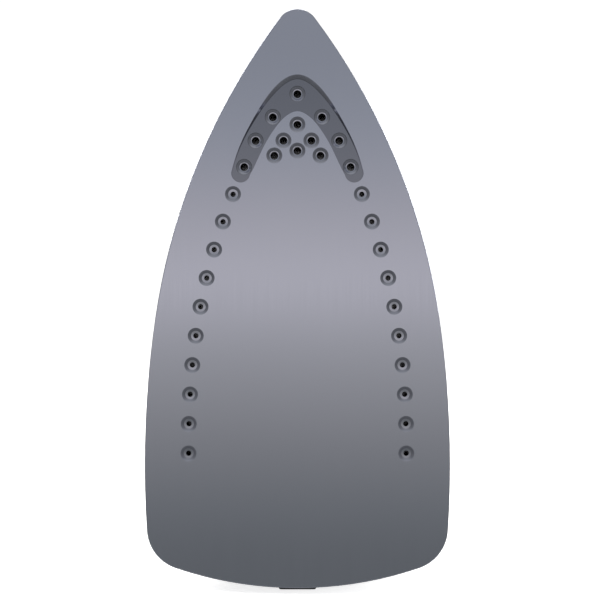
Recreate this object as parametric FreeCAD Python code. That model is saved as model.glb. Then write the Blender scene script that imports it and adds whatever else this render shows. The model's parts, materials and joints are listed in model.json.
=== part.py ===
"""Steam iron standing on its heel, tip up, with its sole facing -Y.

Every piece is modelled in the sole frame: X across the sole, Y the height above the
ironing face, Z along the sole from its rear edge to its tip. Millimetres throughout.
At export the pieces are moved so that the origin lies under the middle of the iron,
on the surface that the heel feet stand on.
"""

import FreeCAD
import Part

import math
import os

V = FreeCAD.Vector

# ---------------------------------------------------------------- driving dimensions
# Plan outline of the sole: tangent arcs about fixed centres.
SOLE_LENGTH = 228.0
SOLE_HALF = 60.1          # half of the greatest width
SOLE_WIDEST = 48.7        # distance of the widest point from the rear edge
AFT_RADIUS = 402.0        # side arc behind the shoulder
FORE_RADIUS = 258.4       # side arc ahead of the shoulder
SHOULDER_ANGLE = math.radians(8.3)
CORNER_RADIUS = 16.6
REAR_RADIUS = 149.5

# Heights above the ironing face.
SOLE_PLATE = 3.2
SOLE_RIM = 7.0
SOLE_RIM_WALL = 2.0
SOLE_EDGE = 0.4           # rounding of the ironing face's edge
CAST_TOP = 17.0
GASKET = 0.8
COVER = 1.4
SKIRT_LOW = 7.4
SKIRT_TOP = 28.0
SKIRT_PLATE = 2.4
TRIM = 1.6
BODY_LOW = SKIRT_TOP + TRIM
BODY_TOP = 66.0
DECK_TOP = 71.0
TOP_FLAT = 136.0          # flat on top of the nose, where the buttons are
OVERALL_DEPTH = 140.0     # ironing face to the top of the buttons

FOOT_HEIGHT = 3.0         # heel feet stand this far behind the sole's rear edge
WALL = 2.4                # handle shell wall
TANK_WALL = 1.8

# Places along the sole (Z) of what is on the centre line.
DIAL_AT = 95.0
NEEDLE_AT = 149.8
BURST_AT = 164.0
SUCTION_AT = 170.5
SPRAY_AT = 182.0
SLIDER_AT = 137.0
LAMP_AT = 126.0
TANK_REAR = 58.0

# Travels.
SLIDER_TRAVEL = 10.0
NEEDLE_TRAVEL = 3.0
CLEAN_TRAVEL = 1.8

PARTS = {}


# ---------------------------------------------------------------- small helpers
def prism(wire, low, high):
    """Solid between two heights over a closed wire drawn in the plane Y = 0."""
    face = Part.Face(wire)
    face.translate(V(0, low, 0))
    return face.extrude(V(0, high - low, 0))


def box(x0, x1, y0, y1, z0, z1):
    return Part.makeBox(x1 - x0, y1 - y0, z1 - z0, V(x0, y0, z0))


def post(x, z, low, high, radius):
    """Round post standing on the sole."""
    return Part.makeCylinder(radius, high - low, V(x, low, z), V(0, 1, 0))


def tube(x, z, low, high, outer, inner):
    return post(x, z, low, high, outer).cut(post(x, z, low - 1, high + 1, inner))


def rod(start, end, radius):
    """Round rod between two points."""
    along = end.sub(start)
    return Part.makeCylinder(radius, along.Length, start, along)


def join(shapes):
    """One compound of separate solids, or one fused solid where they touch."""
    first = shapes[0]
    if len(shapes) == 1:
        return first
    return first.fuse(shapes[1:]).removeSplitter()


def group(shapes):
    return Part.makeCompound(shapes)


def bevel(shape, size, picked):
    """Fillets the edges for which picked(edge) is true."""
    edges = [e for e in shape.Edges if picked(e)]
    return shape.makeFillet(size, edges)


def round_edges_at(shape, size, height):
    """Fillets every edge that lies wholly at one height."""
    def level(edge):
        box_of = edge.BoundBox
        return abs(box_of.YMin - height) < 1e-4 and abs(box_of.YMax - height) < 1e-4
    return bevel(shape, size, level)


def add(name, shape):
    PARTS[name] = shape


# ---------------------------------------------------------------- plan outline
def point(centre, radius, angle):
    return V(centre[0] + radius * math.cos(angle), 0, centre[1] + radius * math.sin(angle))


def arc(centre, radius, start, end):
    middle = (start + end) / 2
    return Part.Arc(
        point(centre, radius, start), point(centre, radius, middle), point(centre, radius, end)
    ).toShape()


def outline_centres():
    """Centres of the arcs on the +X side, and the radius of the tip."""
    aft = (SOLE_HALF - AFT_RADIUS, SOLE_WIDEST)
    reach = AFT_RADIUS - FORE_RADIUS
    fore = (aft[0] + reach * math.cos(SHOULDER_ANGLE), aft[1] + reach * math.sin(SHOULDER_ANGLE))
    drop = fore[1] - SOLE_LENGTH
    tip_radius = (FORE_RADIUS**2 - fore[0] ** 2 - drop**2) / (2 * drop + 2 * FORE_RADIUS)
    rear = (0.0, REAR_RADIUS)
    # The corner arc touches the aft side arc and the rear arc from inside.
    r_aft = AFT_RADIUS - CORNER_RADIUS
    r_rear = REAR_RADIUS - CORNER_RADIUS
    dx, dz = rear[0] - aft[0], rear[1] - aft[1]
    span = math.hypot(dx, dz)
    along = (r_aft**2 - r_rear**2 + span**2) / (2 * span)
    across = math.sqrt(r_aft**2 - along**2)
    corner = (
        aft[0] + (along * dx + across * dz) / span,
        aft[1] + (along * dz - across * dx) / span,
    )
    return aft, fore, (0.0, SOLE_LENGTH - tip_radius), tip_radius, corner, rear


def direction(start, end):
    return math.atan2(end[1] - start[1], end[0] - start[0])


def mirrored(edge):
    return edge.mirror(V(0, 0, 0), V(1, 0, 0))


def sole_outline(inset=0.0):
    """Closed outline of the sole, drawn inset from its edge: the arcs keep their centres.

    Beyond the tip's own radius the two side arcs meet in a point.
    """
    aft, fore, tip, tip_radius, corner, rear = outline_centres()
    at_corner = direction(rear, corner)
    at_side = direction(aft, corner)
    pointed = inset >= tip_radius
    at_tip = math.acos(-fore[0] / (FORE_RADIUS - inset)) if pointed else direction(fore, tip)
    right = [
        arc(corner, CORNER_RADIUS - inset, at_corner, at_side),
        arc(aft, AFT_RADIUS - inset, at_side, SHOULDER_ANGLE),
        arc(fore, FORE_RADIUS - inset, SHOULDER_ANGLE, at_tip),
    ]
    nose = [] if pointed else [arc(tip, tip_radius - inset, at_tip, math.pi - at_tip)]
    heel = arc(rear, REAR_RADIUS - inset, math.pi - at_corner - math.tau, at_corner)
    left = [mirrored(e) for e in reversed(right)]
    return Part.Wire(Part.__sortEdges__([heel, *right, *nose, *left]))


def scaled_outline(height, half_width, rear, tip):
    """The sole's outline stretched to another width and length, at a height."""
    stretch = FreeCAD.Matrix()
    stretch.A11 = half_width / SOLE_HALF
    stretch.A33 = (tip - rear) / SOLE_LENGTH
    stretch.A34 = rear
    wire = sole_outline().transformGeometry(stretch)
    wire.translate(V(0, height, 0))
    return wire


# ---------------------------------------------------------------- side-view profiles
def rounded_polygon(corners):
    """Closed wire in the plane X = 0 from (height, along, corner radius) corners."""
    count = len(corners)
    points = [V(0, c[0], c[1]) for c in corners]
    edges = []
    ends = []
    for i, (_, _, radius) in enumerate(corners):
        before = points[i - 1].sub(points[i]).normalize()
        after = points[(i + 1) % count].sub(points[i]).normalize()
        if radius == 0:
            ends.append((points[i], points[i]))
            continue
        half = before.getAngle(after) / 2
        leg = radius / math.tan(half)
        start = points[i].add(V(before).multiply(leg))
        end = points[i].add(V(after).multiply(leg))
        inward = before.add(after).normalize()
        middle = points[i].add(inward.multiply(radius / math.sin(half) - radius))
        edges.append(Part.Arc(start, middle, end).toShape())
        ends.append((start, end))
    for i in range(count):
        leave, arrive = ends[i][1], ends[(i + 1) % count][0]
        if leave.sub(arrive).Length > 1e-6:
            edges.append(Part.LineSegment(leave, arrive).toShape())
    return Part.Wire(Part.__sortEdges__(edges))


def side_prism(wire, half, edge_radius=0.0):
    """A side-view profile made 2 * half wide, its long edges rounded."""
    face = Part.Face(wire)
    face.translate(V(-half, 0, 0))
    solid = face.extrude(V(2 * half, 0, 0))
    if edge_radius == 0:
        return solid
    return bevel(solid, edge_radius, lambda e: abs(abs(e.CenterOfMass.x) - half) < 1e-6)


def inset_profile(wire, inset):
    """The profile drawn inside itself by inset."""
    return Part.Face(wire).makeOffset2D(-inset).OuterWire


# ---------------------------------------------------------------- steam vents
DIMPLE_RADIUS = 3.15
DIMPLE_FLOOR = 1.95       # radius at the foot of the dimple's steep wall
DIMPLE_DEPTH = 0.9
DIMPLE_FLOOR_FALL = 0.05  # its floor falls a little further to the vent
FRONT_VENT = 1.55         # vent radius in the nose group
SIDE_VENT = 1.05          # vent radius in the two side rows
SIDE_VENTS = 10
SIDE_STEP = 11.62         # spacing along the row
ROW_FRONT = 155.1
ROW_LENGTH = 102.15
ROW_HALF = 42.85          # how far the row's rear end lies from the centre line
ROW_BOW = 17.5            # how far its front end swings in
ROW_POWER = 2.3
RECESS_DEPTH = 1.2

# Vents of the nose, as (across, along); each lies on both sides unless it is central.
RECESS_VENTS = [(0, 194.75), (9.7, 185.6), (16.5, 176.3), (21.0, 165.9)]
CLUSTER_VENTS = [(0, 182.5), (5.5, 176.2), (9.1, 170.3), (0, 172.2)]


def both_sides(places):
    return [(s * x, z) for x, z in places for s in ((1, -1) if x else (1,))]


def row_half(z):
    """Distance of a side row from the centre line."""
    back = (z - (ROW_FRONT - ROW_LENGTH)) / ROW_LENGTH
    return ROW_HALF - ROW_BOW * max(back, 0.0) ** ROW_POWER


def side_row():
    """Vents of the +X row, evenly spaced along its curve from the front."""
    places = []
    z = ROW_FRONT
    for _ in range(SIDE_VENTS):
        places.append((row_half(z), z))
        slope = row_half(z) - row_half(z - 1.0)
        z -= SIDE_STEP / math.hypot(1.0, slope)
    return places


def vent_cutter(x, z, radius, surface):
    """Dimple and through hole, from the face at height surface."""
    foot = surface + DIMPLE_DEPTH
    throat = foot + DIMPLE_FLOOR_FALL
    up = V(0, 1, 0)
    wall = Part.makeCone(DIMPLE_RADIUS, DIMPLE_FLOOR, DIMPLE_DEPTH, V(x, surface, z), up)
    floor = Part.makeCone(DIMPLE_FLOOR, radius, DIMPLE_FLOOR_FALL, V(x, foot, z), up)
    lead = post(x, z, surface - 1.0, surface, DIMPLE_RADIUS)
    return wall.fuse([floor, lead, post(x, z, throat - 0.01, SOLE_PLATE + 1.0, radius)])


def chevron(outer, inner, cap, height):
    """Closed wire of the nose recess: mirrored spline sides and round ends."""
    def side(points):
        both = [V(-x, height, z) for x, z in points] + [
            V(x, height, z) for x, z in reversed(points[:-1])
        ]
        curve = Part.BSplineCurve()
        curve.interpolate(both)
        return curve.toShape()

    def end(sign):
        return Part.Arc(
            V(sign * outer[0][0], height, outer[0][1]),
            V(sign * cap[0], height, cap[1]),
            V(sign * inner[0][0], height, inner[0][1]),
        ).toShape()

    return Part.Wire(Part.__sortEdges__([side(outer), end(1), side(inner), end(-1)]))


def nose_recess():
    """Chevron recess whose outer wall slopes most at the tip; its inner wall is upright."""
    inner = [(18.7, 162.6), (17.3, 165.2), (13.6, 173.1), (9.0, 180.8), (3.6, 186.4), (0, 187.7)]
    cap = (22.2, 159.65)
    rim = [(25.8, 164.6), (23.2, 172.9), (16.9, 185.6), (8.6, 197.5), (4.4, 200.9), (0, 202.2)]
    floor = [(25.6, 164.6), (22.9, 172.7), (16.3, 185.1), (7.8, 196.1), (4.0, 199.2), (0, 200.5)]
    mouth = chevron(rim, inner, cap, 0.0)
    bottom = chevron(floor, inner, cap, RECESS_DEPTH)
    lead = Part.Face(mouth).extrude(V(0, -1.0, 0))
    return Part.makeLoft([mouth, bottom], True, True).fuse(lead)


def soleplate():
    plate = prism(sole_outline(), 0.0, SOLE_RIM)
    plate = round_edges_at(plate, SOLE_EDGE, 0.0)
    plate = plate.cut(prism(sole_outline(SOLE_RIM_WALL), SOLE_PLATE, SOLE_RIM + 1))
    plate = plate.cut(nose_recess())
    vents = [vent_cutter(x, z, FRONT_VENT, RECESS_DEPTH) for x, z in both_sides(RECESS_VENTS)]
    vents += [vent_cutter(x, z, FRONT_VENT, 0.0) for x, z in both_sides(CLUSTER_VENTS)]
    vents += [vent_cutter(x, z, SIDE_VENT, 0.0) for x, z in both_sides(side_row())]
    return plate.cut(vents)


# ---------------------------------------------------------------- heater casting
CAST_FOOT_INSET = SOLE_RIM_WALL + 0.3
CAST_FOOT_TOP = SOLE_RIM - 0.1
CAST_INSET = 5.4
CHAMBER_INSET = 14.0
CHAMBER_FLOOR = 8.0
CHAMBER_REAR = 50.0
CHAMBER_FRONT = 198.0
CHAMBER_LAP = 2.6         # how far gasket and cover reach past the chamber's edge
ISLAND_HALF = 18.0        # solid block under the thermostat
ISLAND_FRONT = 112.0
VENT_POCKET = 3.0
VENT_POCKET_TOP = 6.2
VENT_PASSAGE = 1.3
ELEMENT_RADIUS = 3.25
ELEMENT_INSET = 9.4
ELEMENT_HEIGHT = 9.0
ELEMENT_NOSE = 14.0
ELEMENT_BEND = 12.0
ELEMENT_REAR = 14.0
TERMINAL_X = 24.0
COVER_SCREWS = [(24.0, 128.0), (0, 189.0)]
SOLE_SCREWS = [(0, 215.0), (34.0, 30.0)]
THERMOSTAT_SCREWS = [(11.0, DIAL_AT - 8.0), (-11.0, DIAL_AT - 8.0)]
SCREW_CORE = 1.6


def chamber_region(grown, low, high):
    """Chamber plan, drawn outwards by grown: the island stands in from its rear wall."""
    room = prism(sole_outline(CHAMBER_INSET - grown), low, high)
    span = (CHAMBER_REAR - grown, CHAMBER_FRONT + grown)
    room = room.common(box(-SOLE_HALF, SOLE_HALF, low, high, *span))
    half = ISLAND_HALF - grown
    return room.cut(box(-half, half, low - 1, high + 1, 0, ISLAND_FRONT - grown))


def element_path():
    """Half of the heating element's U, from its terminal to the nose, and its mirror."""
    aft, fore, _, _, _, _ = outline_centres()
    r_aft = AFT_RADIUS - ELEMENT_INSET
    r_fore = FORE_RADIUS - ELEMENT_INSET
    nose = (0.0, fore[1] + math.sqrt((r_fore - ELEMENT_NOSE) ** 2 - fore[0] ** 2))
    bend_z = ELEMENT_REAR + ELEMENT_BEND
    bend = (aft[0] + math.sqrt((r_aft - ELEMENT_BEND) ** 2 - (aft[1] - bend_z) ** 2), bend_z)
    at_side = direction(aft, bend)
    at_nose = direction(fore, nose)
    run = Part.LineSegment(V(TERMINAL_X, 0, ELEMENT_REAR), V(bend[0], 0, ELEMENT_REAR)).toShape()
    right = [
        run,
        arc(bend, ELEMENT_BEND, -math.pi / 2, at_side),
        arc(aft, r_aft, at_side, SHOULDER_ANGLE),
        arc(fore, r_fore, SHOULDER_ANGLE, at_nose),
    ]
    turn = arc(nose, ELEMENT_NOSE, at_nose, math.pi - at_nose)
    edges = right + [turn] + [mirrored(e) for e in reversed(right)]
    wire = Part.Wire(Part.__sortEdges__(edges))
    wire.translate(V(0, ELEMENT_HEIGHT, 0))
    return wire


def heating_element():
    """Sheathed U-shaped rod with its two ends turned up out of the casting."""
    path = element_path()
    start = V(TERMINAL_X, ELEMENT_HEIGHT, ELEMENT_REAR)
    section = Part.Wire(Part.makeCircle(ELEMENT_RADIUS, start, V(1, 0, 0)))
    rod_body = path.makePipeShell([section], True, False)
    ends = []
    for x in (TERMINAL_X, -TERMINAL_X):
        ends.append(Part.makeSphere(ELEMENT_RADIUS, V(x, ELEMENT_HEIGHT, ELEMENT_REAR)))
        ends.append(post(x, ELEMENT_REAR, ELEMENT_HEIGHT, CAST_TOP + 2.0, ELEMENT_RADIUS))
    return rod_body.fuse(ends)


def element_pins():
    """Terminal pins, one standing on each end of the element."""
    return group([post(s * TERMINAL_X, ELEMENT_REAR, CAST_TOP + 2.0, 24.4, 1.3) for s in (1, -1)])


def heater_casting(element):
    casting = prism(sole_outline(CAST_INSET), SOLE_PLATE, CAST_TOP)
    casting = casting.fuse(prism(sole_outline(CAST_FOOT_INSET), SOLE_PLATE, CAST_FOOT_TOP))
    casting = casting.cut(chamber_region(0, CHAMBER_FLOOR, CAST_TOP + 1))
    bosses = [post(x, z, CHAMBER_FLOOR - 1, CAST_TOP, 4.2) for x, z in both_sides(COVER_SCREWS)]
    fins = [
        box(s * 12 - 1.2, s * 12 + 1.2, CHAMBER_FLOOR - 1, 13.0, 122, 172) for s in (-1, 1)
    ]
    casting = casting.fuse(bosses + fins)
    places = both_sides(RECESS_VENTS + CLUSTER_VENTS + side_row())
    bores = [post(x, z, SOLE_PLATE - 1, VENT_POCKET_TOP, VENT_POCKET) for x, z in places]
    bores += [post(x, z, SOLE_PLATE, CHAMBER_FLOOR + 1, VENT_PASSAGE) for x, z in places]
    bores += [
        post(x, z, CAST_TOP - 8, CAST_TOP + 1, SCREW_CORE) for x, z in both_sides(COVER_SCREWS)
    ]
    bores += [post(x, z, CAST_TOP - 10, CAST_TOP + 1, 2.0) for x, z in both_sides(SOLE_SCREWS)]
    bores += [
        post(x, z, CAST_TOP - 7, CAST_TOP + 1, SCREW_CORE) for x, z in THERMOSTAT_SCREWS
    ]
    return casting.cut(bores + [element])


def steam_chamber_cover():
    """Flat plate over the chamber, with its screw, valve and burst holes."""
    low = CAST_TOP + GASKET
    high = low + COVER
    plate = chamber_region(CHAMBER_LAP, low, high)
    holes = [post(x, z, low - 1, high + 1, 1.9) for x, z in both_sides(COVER_SCREWS)]
    holes.append(post(0, NEEDLE_AT, low - 1, high + 1, 2.0))
    holes.append(post(0, BURST_AT, low - 1, high + 1, 1.7))
    return plate.cut(holes)


def chamber_gasket():
    """Silicone frame under the cover: the chamber's own plan is cut out of it."""
    top = CAST_TOP + GASKET
    frame = chamber_region(CHAMBER_LAP, CAST_TOP, top)
    frame = frame.cut(chamber_region(0, CAST_TOP - 1, top + 1))
    washers = [tube(x, z, CAST_TOP, top, 4.2, 1.9) for x, z in both_sides(COVER_SCREWS)]
    return group([frame, *washers])


def pan_screw(x, z, under_head, length, core, head, head_height):
    """Machine screw along the height axis, with a cross recess in its head."""
    shank = post(x, z, under_head - length, under_head, core)
    top = post(x, z, under_head, under_head + head_height, head)
    top = round_edges_at(top, head_height * 0.45, under_head + head_height)
    depth = head_height * 0.6
    high = under_head + head_height
    slots = [
        box(x - head * 0.55, x + head * 0.55, high - depth, high + 1, z - 0.35, z + 0.35),
        box(x - 0.35, x + 0.35, high - depth, high + 1, z - head * 0.55, z + head * 0.55),
    ]
    return shank.fuse(top).cut(slots)


def cover_screws():
    under = CAST_TOP + GASKET + COVER
    return group([
        pan_screw(x, z, under, 8.0, SCREW_CORE, 3.0, 1.8) for x, z in both_sides(COVER_SCREWS)
    ])


# ---------------------------------------------------------------- thermostat
THERMOSTAT_TOP = 24.6
SPINDLE_RADIUS = 2.5
RUNNING_GAP = 0.06


def thermostat_base():
    """Pressed bracket that clamps the bimetal to the casting, with a bush for the spindle."""
    plate = box(-15, 15, CAST_TOP, CAST_TOP + 1.2, DIAL_AT - 12, DIAL_AT + 8)
    bridge = box(-7, 7, 22.6, 23.8, DIAL_AT - 7, DIAL_AT + 7)
    legs = [box(s * 6 - 0.6 * (s + 1), s * 6 + 0.6 * (1 - s), CAST_TOP, 23, DIAL_AT - 7, DIAL_AT + 7)
            for s in (-1, 1)]
    bush = post(0, DIAL_AT, 21.4, THERMOSTAT_TOP, 4.0)
    frame = plate.fuse([bridge, *legs, bush])
    holes = [post(x, z, CAST_TOP - 1, 30, 1.9) for x, z in THERMOSTAT_SCREWS]
    holes.append(post(0, DIAL_AT, 20, 30, SPINDLE_RADIUS + RUNNING_GAP))
    return frame.cut(holes)


def thermostat_bimetal():
    """Snap disc lying on the bracket under the spindle."""
    disc = post(0, DIAL_AT, CAST_TOP + 1.2, CAST_TOP + 1.8, 4.6)
    return round_edges_at(disc, 0.2, CAST_TOP + 1.8)


def thermostat_contacts():
    """Ceramic stack with two contact blades that reach under the spindle."""
    stack = post(0, DIAL_AT - 16.6, CAST_TOP, 23.5, 3.6)
    blades = [
        box(-2.4, 2.4, 20.2 + step, 20.6 + step, DIAL_AT - 26, DIAL_AT - 15) for step in (0, 1.6)
    ]
    return stack.fuse(blades)


def thermostat_screws():
    return group([
        pan_screw(x, z, CAST_TOP + 1.2, 6.5, SCREW_CORE, 3.0, 1.8) for x, z in THERMOSTAT_SCREWS
    ])


def thermal_fuse():
    """Cylindrical cut-out in a saddle clip on the casting, with its two leads."""
    at = 38.0
    lie = CAST_TOP + 2.6
    body = rod(V(-7, lie, at), V(7, lie, at), 2.2)
    leads = [rod(V(s * 7, lie, at), V(s * 13, lie, at), 0.6) for s in (-1, 1)]
    clip = box(-3, 3, CAST_TOP, lie, at - 4, at + 4).cut(rod(V(-9, lie, at), V(9, lie, at), 2.25))
    return group([body.fuse(leads), clip])


# ---------------------------------------------------------------- skirt and trim
SKIRT_INSET_LOW = 1.6
SKIRT_INSET_TOP = 4.0
SKIRT_WALL = 2.2


def tapered(inset_low, inset_top, low, high):
    """Solid between two insets of the sole's outline."""
    bottom = sole_outline(inset_low)
    bottom.translate(V(0, low, 0))
    top = sole_outline(inset_top)
    top.translate(V(0, high, 0))
    return Part.makeLoft([bottom, top], True, True)


def skirt():
    """Heat-resistant lower shell: a tapered wall, a top plate and three screw bosses."""
    outside = tapered(SKIRT_INSET_LOW, SKIRT_INSET_TOP, SKIRT_LOW, SKIRT_TOP)
    plate_low = SKIRT_TOP - SKIRT_PLATE
    fall = (SKIRT_INSET_TOP - SKIRT_INSET_LOW) / (SKIRT_TOP - SKIRT_LOW)
    inner_low = SKIRT_INSET_LOW + SKIRT_WALL - fall
    inner_top = SKIRT_INSET_LOW + SKIRT_WALL + fall * (plate_low - SKIRT_LOW)
    inside = tapered(inner_low, inner_top, SKIRT_LOW - 1.0, plate_low)
    shell = outside.cut(inside)
    bosses = [post(x, z, CAST_TOP + 0.1, plate_low + 0.5, 4.2) for x, z in both_sides(SOLE_SCREWS)]
    bosses = [b.common(outside) for b in bosses]
    shell = shell.fuse(bosses)
    low, high = plate_low - 1, SKIRT_TOP + 1
    holes = [post(x, z, CAST_TOP, high, 2.1) for x, z in both_sides(SOLE_SCREWS)]
    holes += [post(x, z, SKIRT_TOP - 1.4, high, 4.0) for x, z in both_sides(SOLE_SCREWS)]
    holes.append(post(0, DIAL_AT, low, high, 6.0))
    holes.append(post(0, NEEDLE_AT, low, high, 4.2))
    holes.append(post(0, BURST_AT, low, high, 1.7))
    holes.append(box(-30, 30, low, high, 10, 24))
    return shell.cut(holes)


def sole_screws():
    """Long screws from the skirt's plate down into the casting."""
    under = SKIRT_TOP - 1.4
    return group([
        pan_screw(x, z, under, 18.0, 1.95, 3.7, 1.3) for x, z in both_sides(SOLE_SCREWS)
    ])


def trim_band():
    """Bright ring between the skirt and the upper body, standing a little proud."""
    ring = prism(sole_outline(3.4), SKIRT_TOP, BODY_LOW)
    ring = round_edges_at(ring, 0.5, BODY_LOW)
    ring = round_edges_at(ring, 0.5, SKIRT_TOP)
    return ring.cut(prism(sole_outline(7.5), SKIRT_TOP - 1, BODY_LOW + 1))


# ---------------------------------------------------------------- upper body
# Sections of the upper body: (height, half width, rear, tip).
BODY_REAR = 3.9
BODY_SECTIONS = [
    (BODY_LOW, 56.0, 223.7),
    (38.0, 54.7, 220.6),
    (47.0, 50.3, 212.0),
    (55.5, 43.0, 199.8),
    (62.0, 33.6, 187.0),
    (BODY_TOP, 25.0, 176.0),
]


def body_loft(inset):
    """The upper body's outer shape, or the same shape drawn in by inset all over."""
    wires = [
        scaled_outline(y - inset, half - inset, BODY_REAR + inset, tip - inset)
        for y, half, tip in BODY_SECTIONS
    ]
    return Part.makeLoft(wires, True, False)


def body_shell():
    """Upper body with a floor, hollow inside."""
    low = BODY_LOW + TANK_WALL
    core = body_loft(TANK_WALL)
    core = core.common(box(-80, 80, low, BODY_TOP, -20, 260))
    return body_loft(0.0), core


# ---------------------------------------------------------------- tank and filler
FILLER_AT = V(0, 59.9, 191.0)
FILLER_LEAN = 26.8        # degrees that the neck leans forward from straight up


def on_nose(shape):
    """Moves a shape drawn round the origin, axis +Y, to the filler on the tank's nose."""
    shape.Placement = FreeCAD.Placement(FILLER_AT, FreeCAD.Rotation(V(1, 0, 0), FILLER_LEAN))
    return shape


def filler_solid(half_x, half_z, low, high):
    """Rounded rectangular block on the filler's axis."""
    block = box(-half_x, half_x, low, high, -half_z, half_z)
    block = bevel(block, 3.0, lambda e: abs(e.Length - (high - low)) < 1e-6)
    return on_nose(block)


TANK_SPLIT = 50.0
WELD_LIP = 1.6
SEAM = 0.25
COLUMN_RADIUS = 6.0
COLUMN_BORE = 4.0
VALVE_SEAT_RADIUS = 4.0
PIPE_RADIUS = 1.6
NEEDLE_RADIUS = 1.25
WIRE_HOLE = 6.0
WIRE_HOLE_AT = 22.0
EVERYWHERE = 400.0


def slab(low=-EVERYWHERE, high=EVERYWHERE, rear=-EVERYWHERE, front=EVERYWHERE):
    """Huge block between two heights and two places along the sole."""
    return box(-EVERYWHERE, EVERYWHERE, low, high, rear, front)


def tank_shell():
    """Whole water tank, with its rear wall, spindle column and the weld lips at its split."""
    outer, core = body_shell()
    shell = outer.cut(core)
    rear_wall = outer.common(slab(rear=TANK_REAR, front=TANK_REAR + 2.2))
    rear_wall = rear_wall.common(slab(BODY_LOW, BODY_TOP))
    lip = core.cut(body_loft(TANK_WALL * 2)).common(slab(TANK_SPLIT - WELD_LIP, TANK_SPLIT + WELD_LIP))
    column = post(0, DIAL_AT, BODY_LOW, BODY_TOP, COLUMN_RADIUS)
    shell = shell.fuse([rear_wall, lip, column]).common(slab(rear=TANK_REAR))
    seam = outer.cut(body_loft(0.7)).common(slab(TANK_SPLIT - SEAM / 2, TANK_SPLIT + SEAM / 2))
    holes = [
        post(0, DIAL_AT, BODY_LOW - 1, BODY_TOP + 1, COLUMN_BORE),
        post(0, NEEDLE_AT, BODY_LOW - 1, BODY_LOW + TANK_WALL + 1, VALVE_SEAT_RADIUS),
        post(0, NEEDLE_AT, BODY_TOP - 4, BODY_TOP + 1, NEEDLE_RADIUS + 0.4),
        post(0, BURST_AT, BODY_LOW - 1, BODY_TOP + 1, PIPE_RADIUS),
        post(0, SUCTION_AT, BODY_TOP - 4, BODY_TOP + 1, PIPE_RADIUS),
        filler_solid(8.2, 5.7, -12, 12),
        filler_solid(10.0, 7.5, -5.0, 12),
        filler_neck(),
        seam,
    ]
    return shell.cut(holes)


def rear_housing():
    """Body behind the tank: it covers the terminals and is open at the back."""
    outer, core = body_shell()
    bosses = [rod(V(s * 32.5, 46.5, 0), V(s * 32.5, 46.5, 17), 3.4) for s in (1, -1)]
    shell = outer.cut(core).fuse([b.common(outer) for b in bosses])
    shell = shell.common(slab(rear=-10, front=TANK_REAR - 0.4))
    return shell.cut([
        *heel_screw_holes(HEEL_SCREW_CORE),
        box(-28, 28, 33, 60, -20, 20),
        box(-30, 30, BODY_LOW - 1, BODY_LOW + TANK_WALL + 1, 10, 24),
        post(0, WIRE_HOLE_AT, BODY_TOP - 4, BODY_TOP + 1, WIRE_HOLE),
    ])


DECK_SCREWS = [(9.5, 24.0), (9.5, 157.0)]
DECK_SCREW_CORE = 1.4


def top_deck():
    """Oval plate on top of the body, under the dial and the handle."""
    deck = prism(scaled_outline(0.0, 25.0, BODY_REAR, 176.0), BODY_TOP, DECK_TOP)
    deck = round_edges_at(deck, 2.5, DECK_TOP)
    low, high = BODY_TOP - 1, DECK_TOP + 1
    holes = [
        post(0, DIAL_AT, low, high, 4.0),
        post(0, NEEDLE_AT, low, high, NEEDLE_RADIUS + 0.4),
        post(0, BURST_AT, low, high, PIPE_RADIUS),
        post(0, SUCTION_AT, low, high, PIPE_RADIUS),
        post(0, WIRE_HOLE_AT, low, high, WIRE_HOLE),
    ]
    holes += [
        post(x, z, BODY_TOP + 1, high, DECK_SCREW_CORE) for x, z in both_sides(DECK_SCREWS)
    ]
    return deck.cut(holes)


# ---------------------------------------------------------------- handle
HANDLE_HALF = 17.0
HANDLE_EDGE = 11.0
HANDLE_LOW = DECK_TOP + 0.2
HANDLE_FLOOR = HANDLE_LOW + 2.4
SPLIT_REAR = 117.0        # height of the joint line at its rear end (along = -10)
SPLIT_FRONT = 126.0       # and at its front end (along = 230)
SPLIT_GAP = 0.3
GRIP_DEPTH = 1.5
GRIP_REAR = 34.0
GRIP_FRONT = 118.0

# Side view of the handle: (height, along, corner radius).
HANDLE_PROFILE = [
    (60, 6, 0),
    (124, 6, 22),
    (131.5, 70, 150),
    (TOP_FLAT, 125, 150),
    (TOP_FLAT, 216.3, 15),
    (60, 170, 0),
    (60, 142, 0),
    (110.5, 145, 16),
    (106.5, 60, 120),
    (105, 40, 16),
    (60, 36, 0),
]
# The front face of the nose, from which the spray nozzle points.
FACE_SLOPE = V(0, TOP_FLAT - 60, 216.3 - 170).normalize()
FACE_OUT = V(0, -FACE_SLOPE.z, FACE_SLOPE.y)
NOZZLE_HEIGHT = 93.0
NOZZLE_DEPTH = 4.0        # how far the jet reaches in behind the face
NOZZLE_POINT = V(0, 60, 170).add(V(FACE_SLOPE).multiply((NOZZLE_HEIGHT - 60) / FACE_SLOPE.y))


def handle_solid(inset):
    """Solid handle, or the same drawn in by inset all over."""
    profile = rounded_polygon(HANDLE_PROFILE)
    if inset:
        profile = inset_profile(profile, inset)
    return side_prism(profile, HANDLE_HALF - inset, HANDLE_EDGE - inset)


def above_split(raised):
    """Everything above the handle's joint line, raised by the given amount."""
    corners = [(SPLIT_REAR + raised, -10), (SPLIT_FRONT + raised, 230), (200, 230), (200, -10)]
    wire = rounded_polygon([(y, z, 0) for y, z in corners])
    return side_prism(wire, 40.0)


def side_direction(degrees):
    """Unit vector in the side view, leaning to the rear from straight up."""
    lean = math.radians(degrees)
    return V(0, math.cos(lean), -math.sin(lean))


BARREL_CENTRE = V(0, 110, 24)
BARREL_RADIUS = 8.5
BARREL_HALF = 9.0
TRUNNION_RADIUS = 3.0
TRUNNION_HALF = 12.5
CHEEK = (10.4, 14.8)
SWIVEL_SWING = 20.0
CORD_LEAN = 25.0


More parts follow.
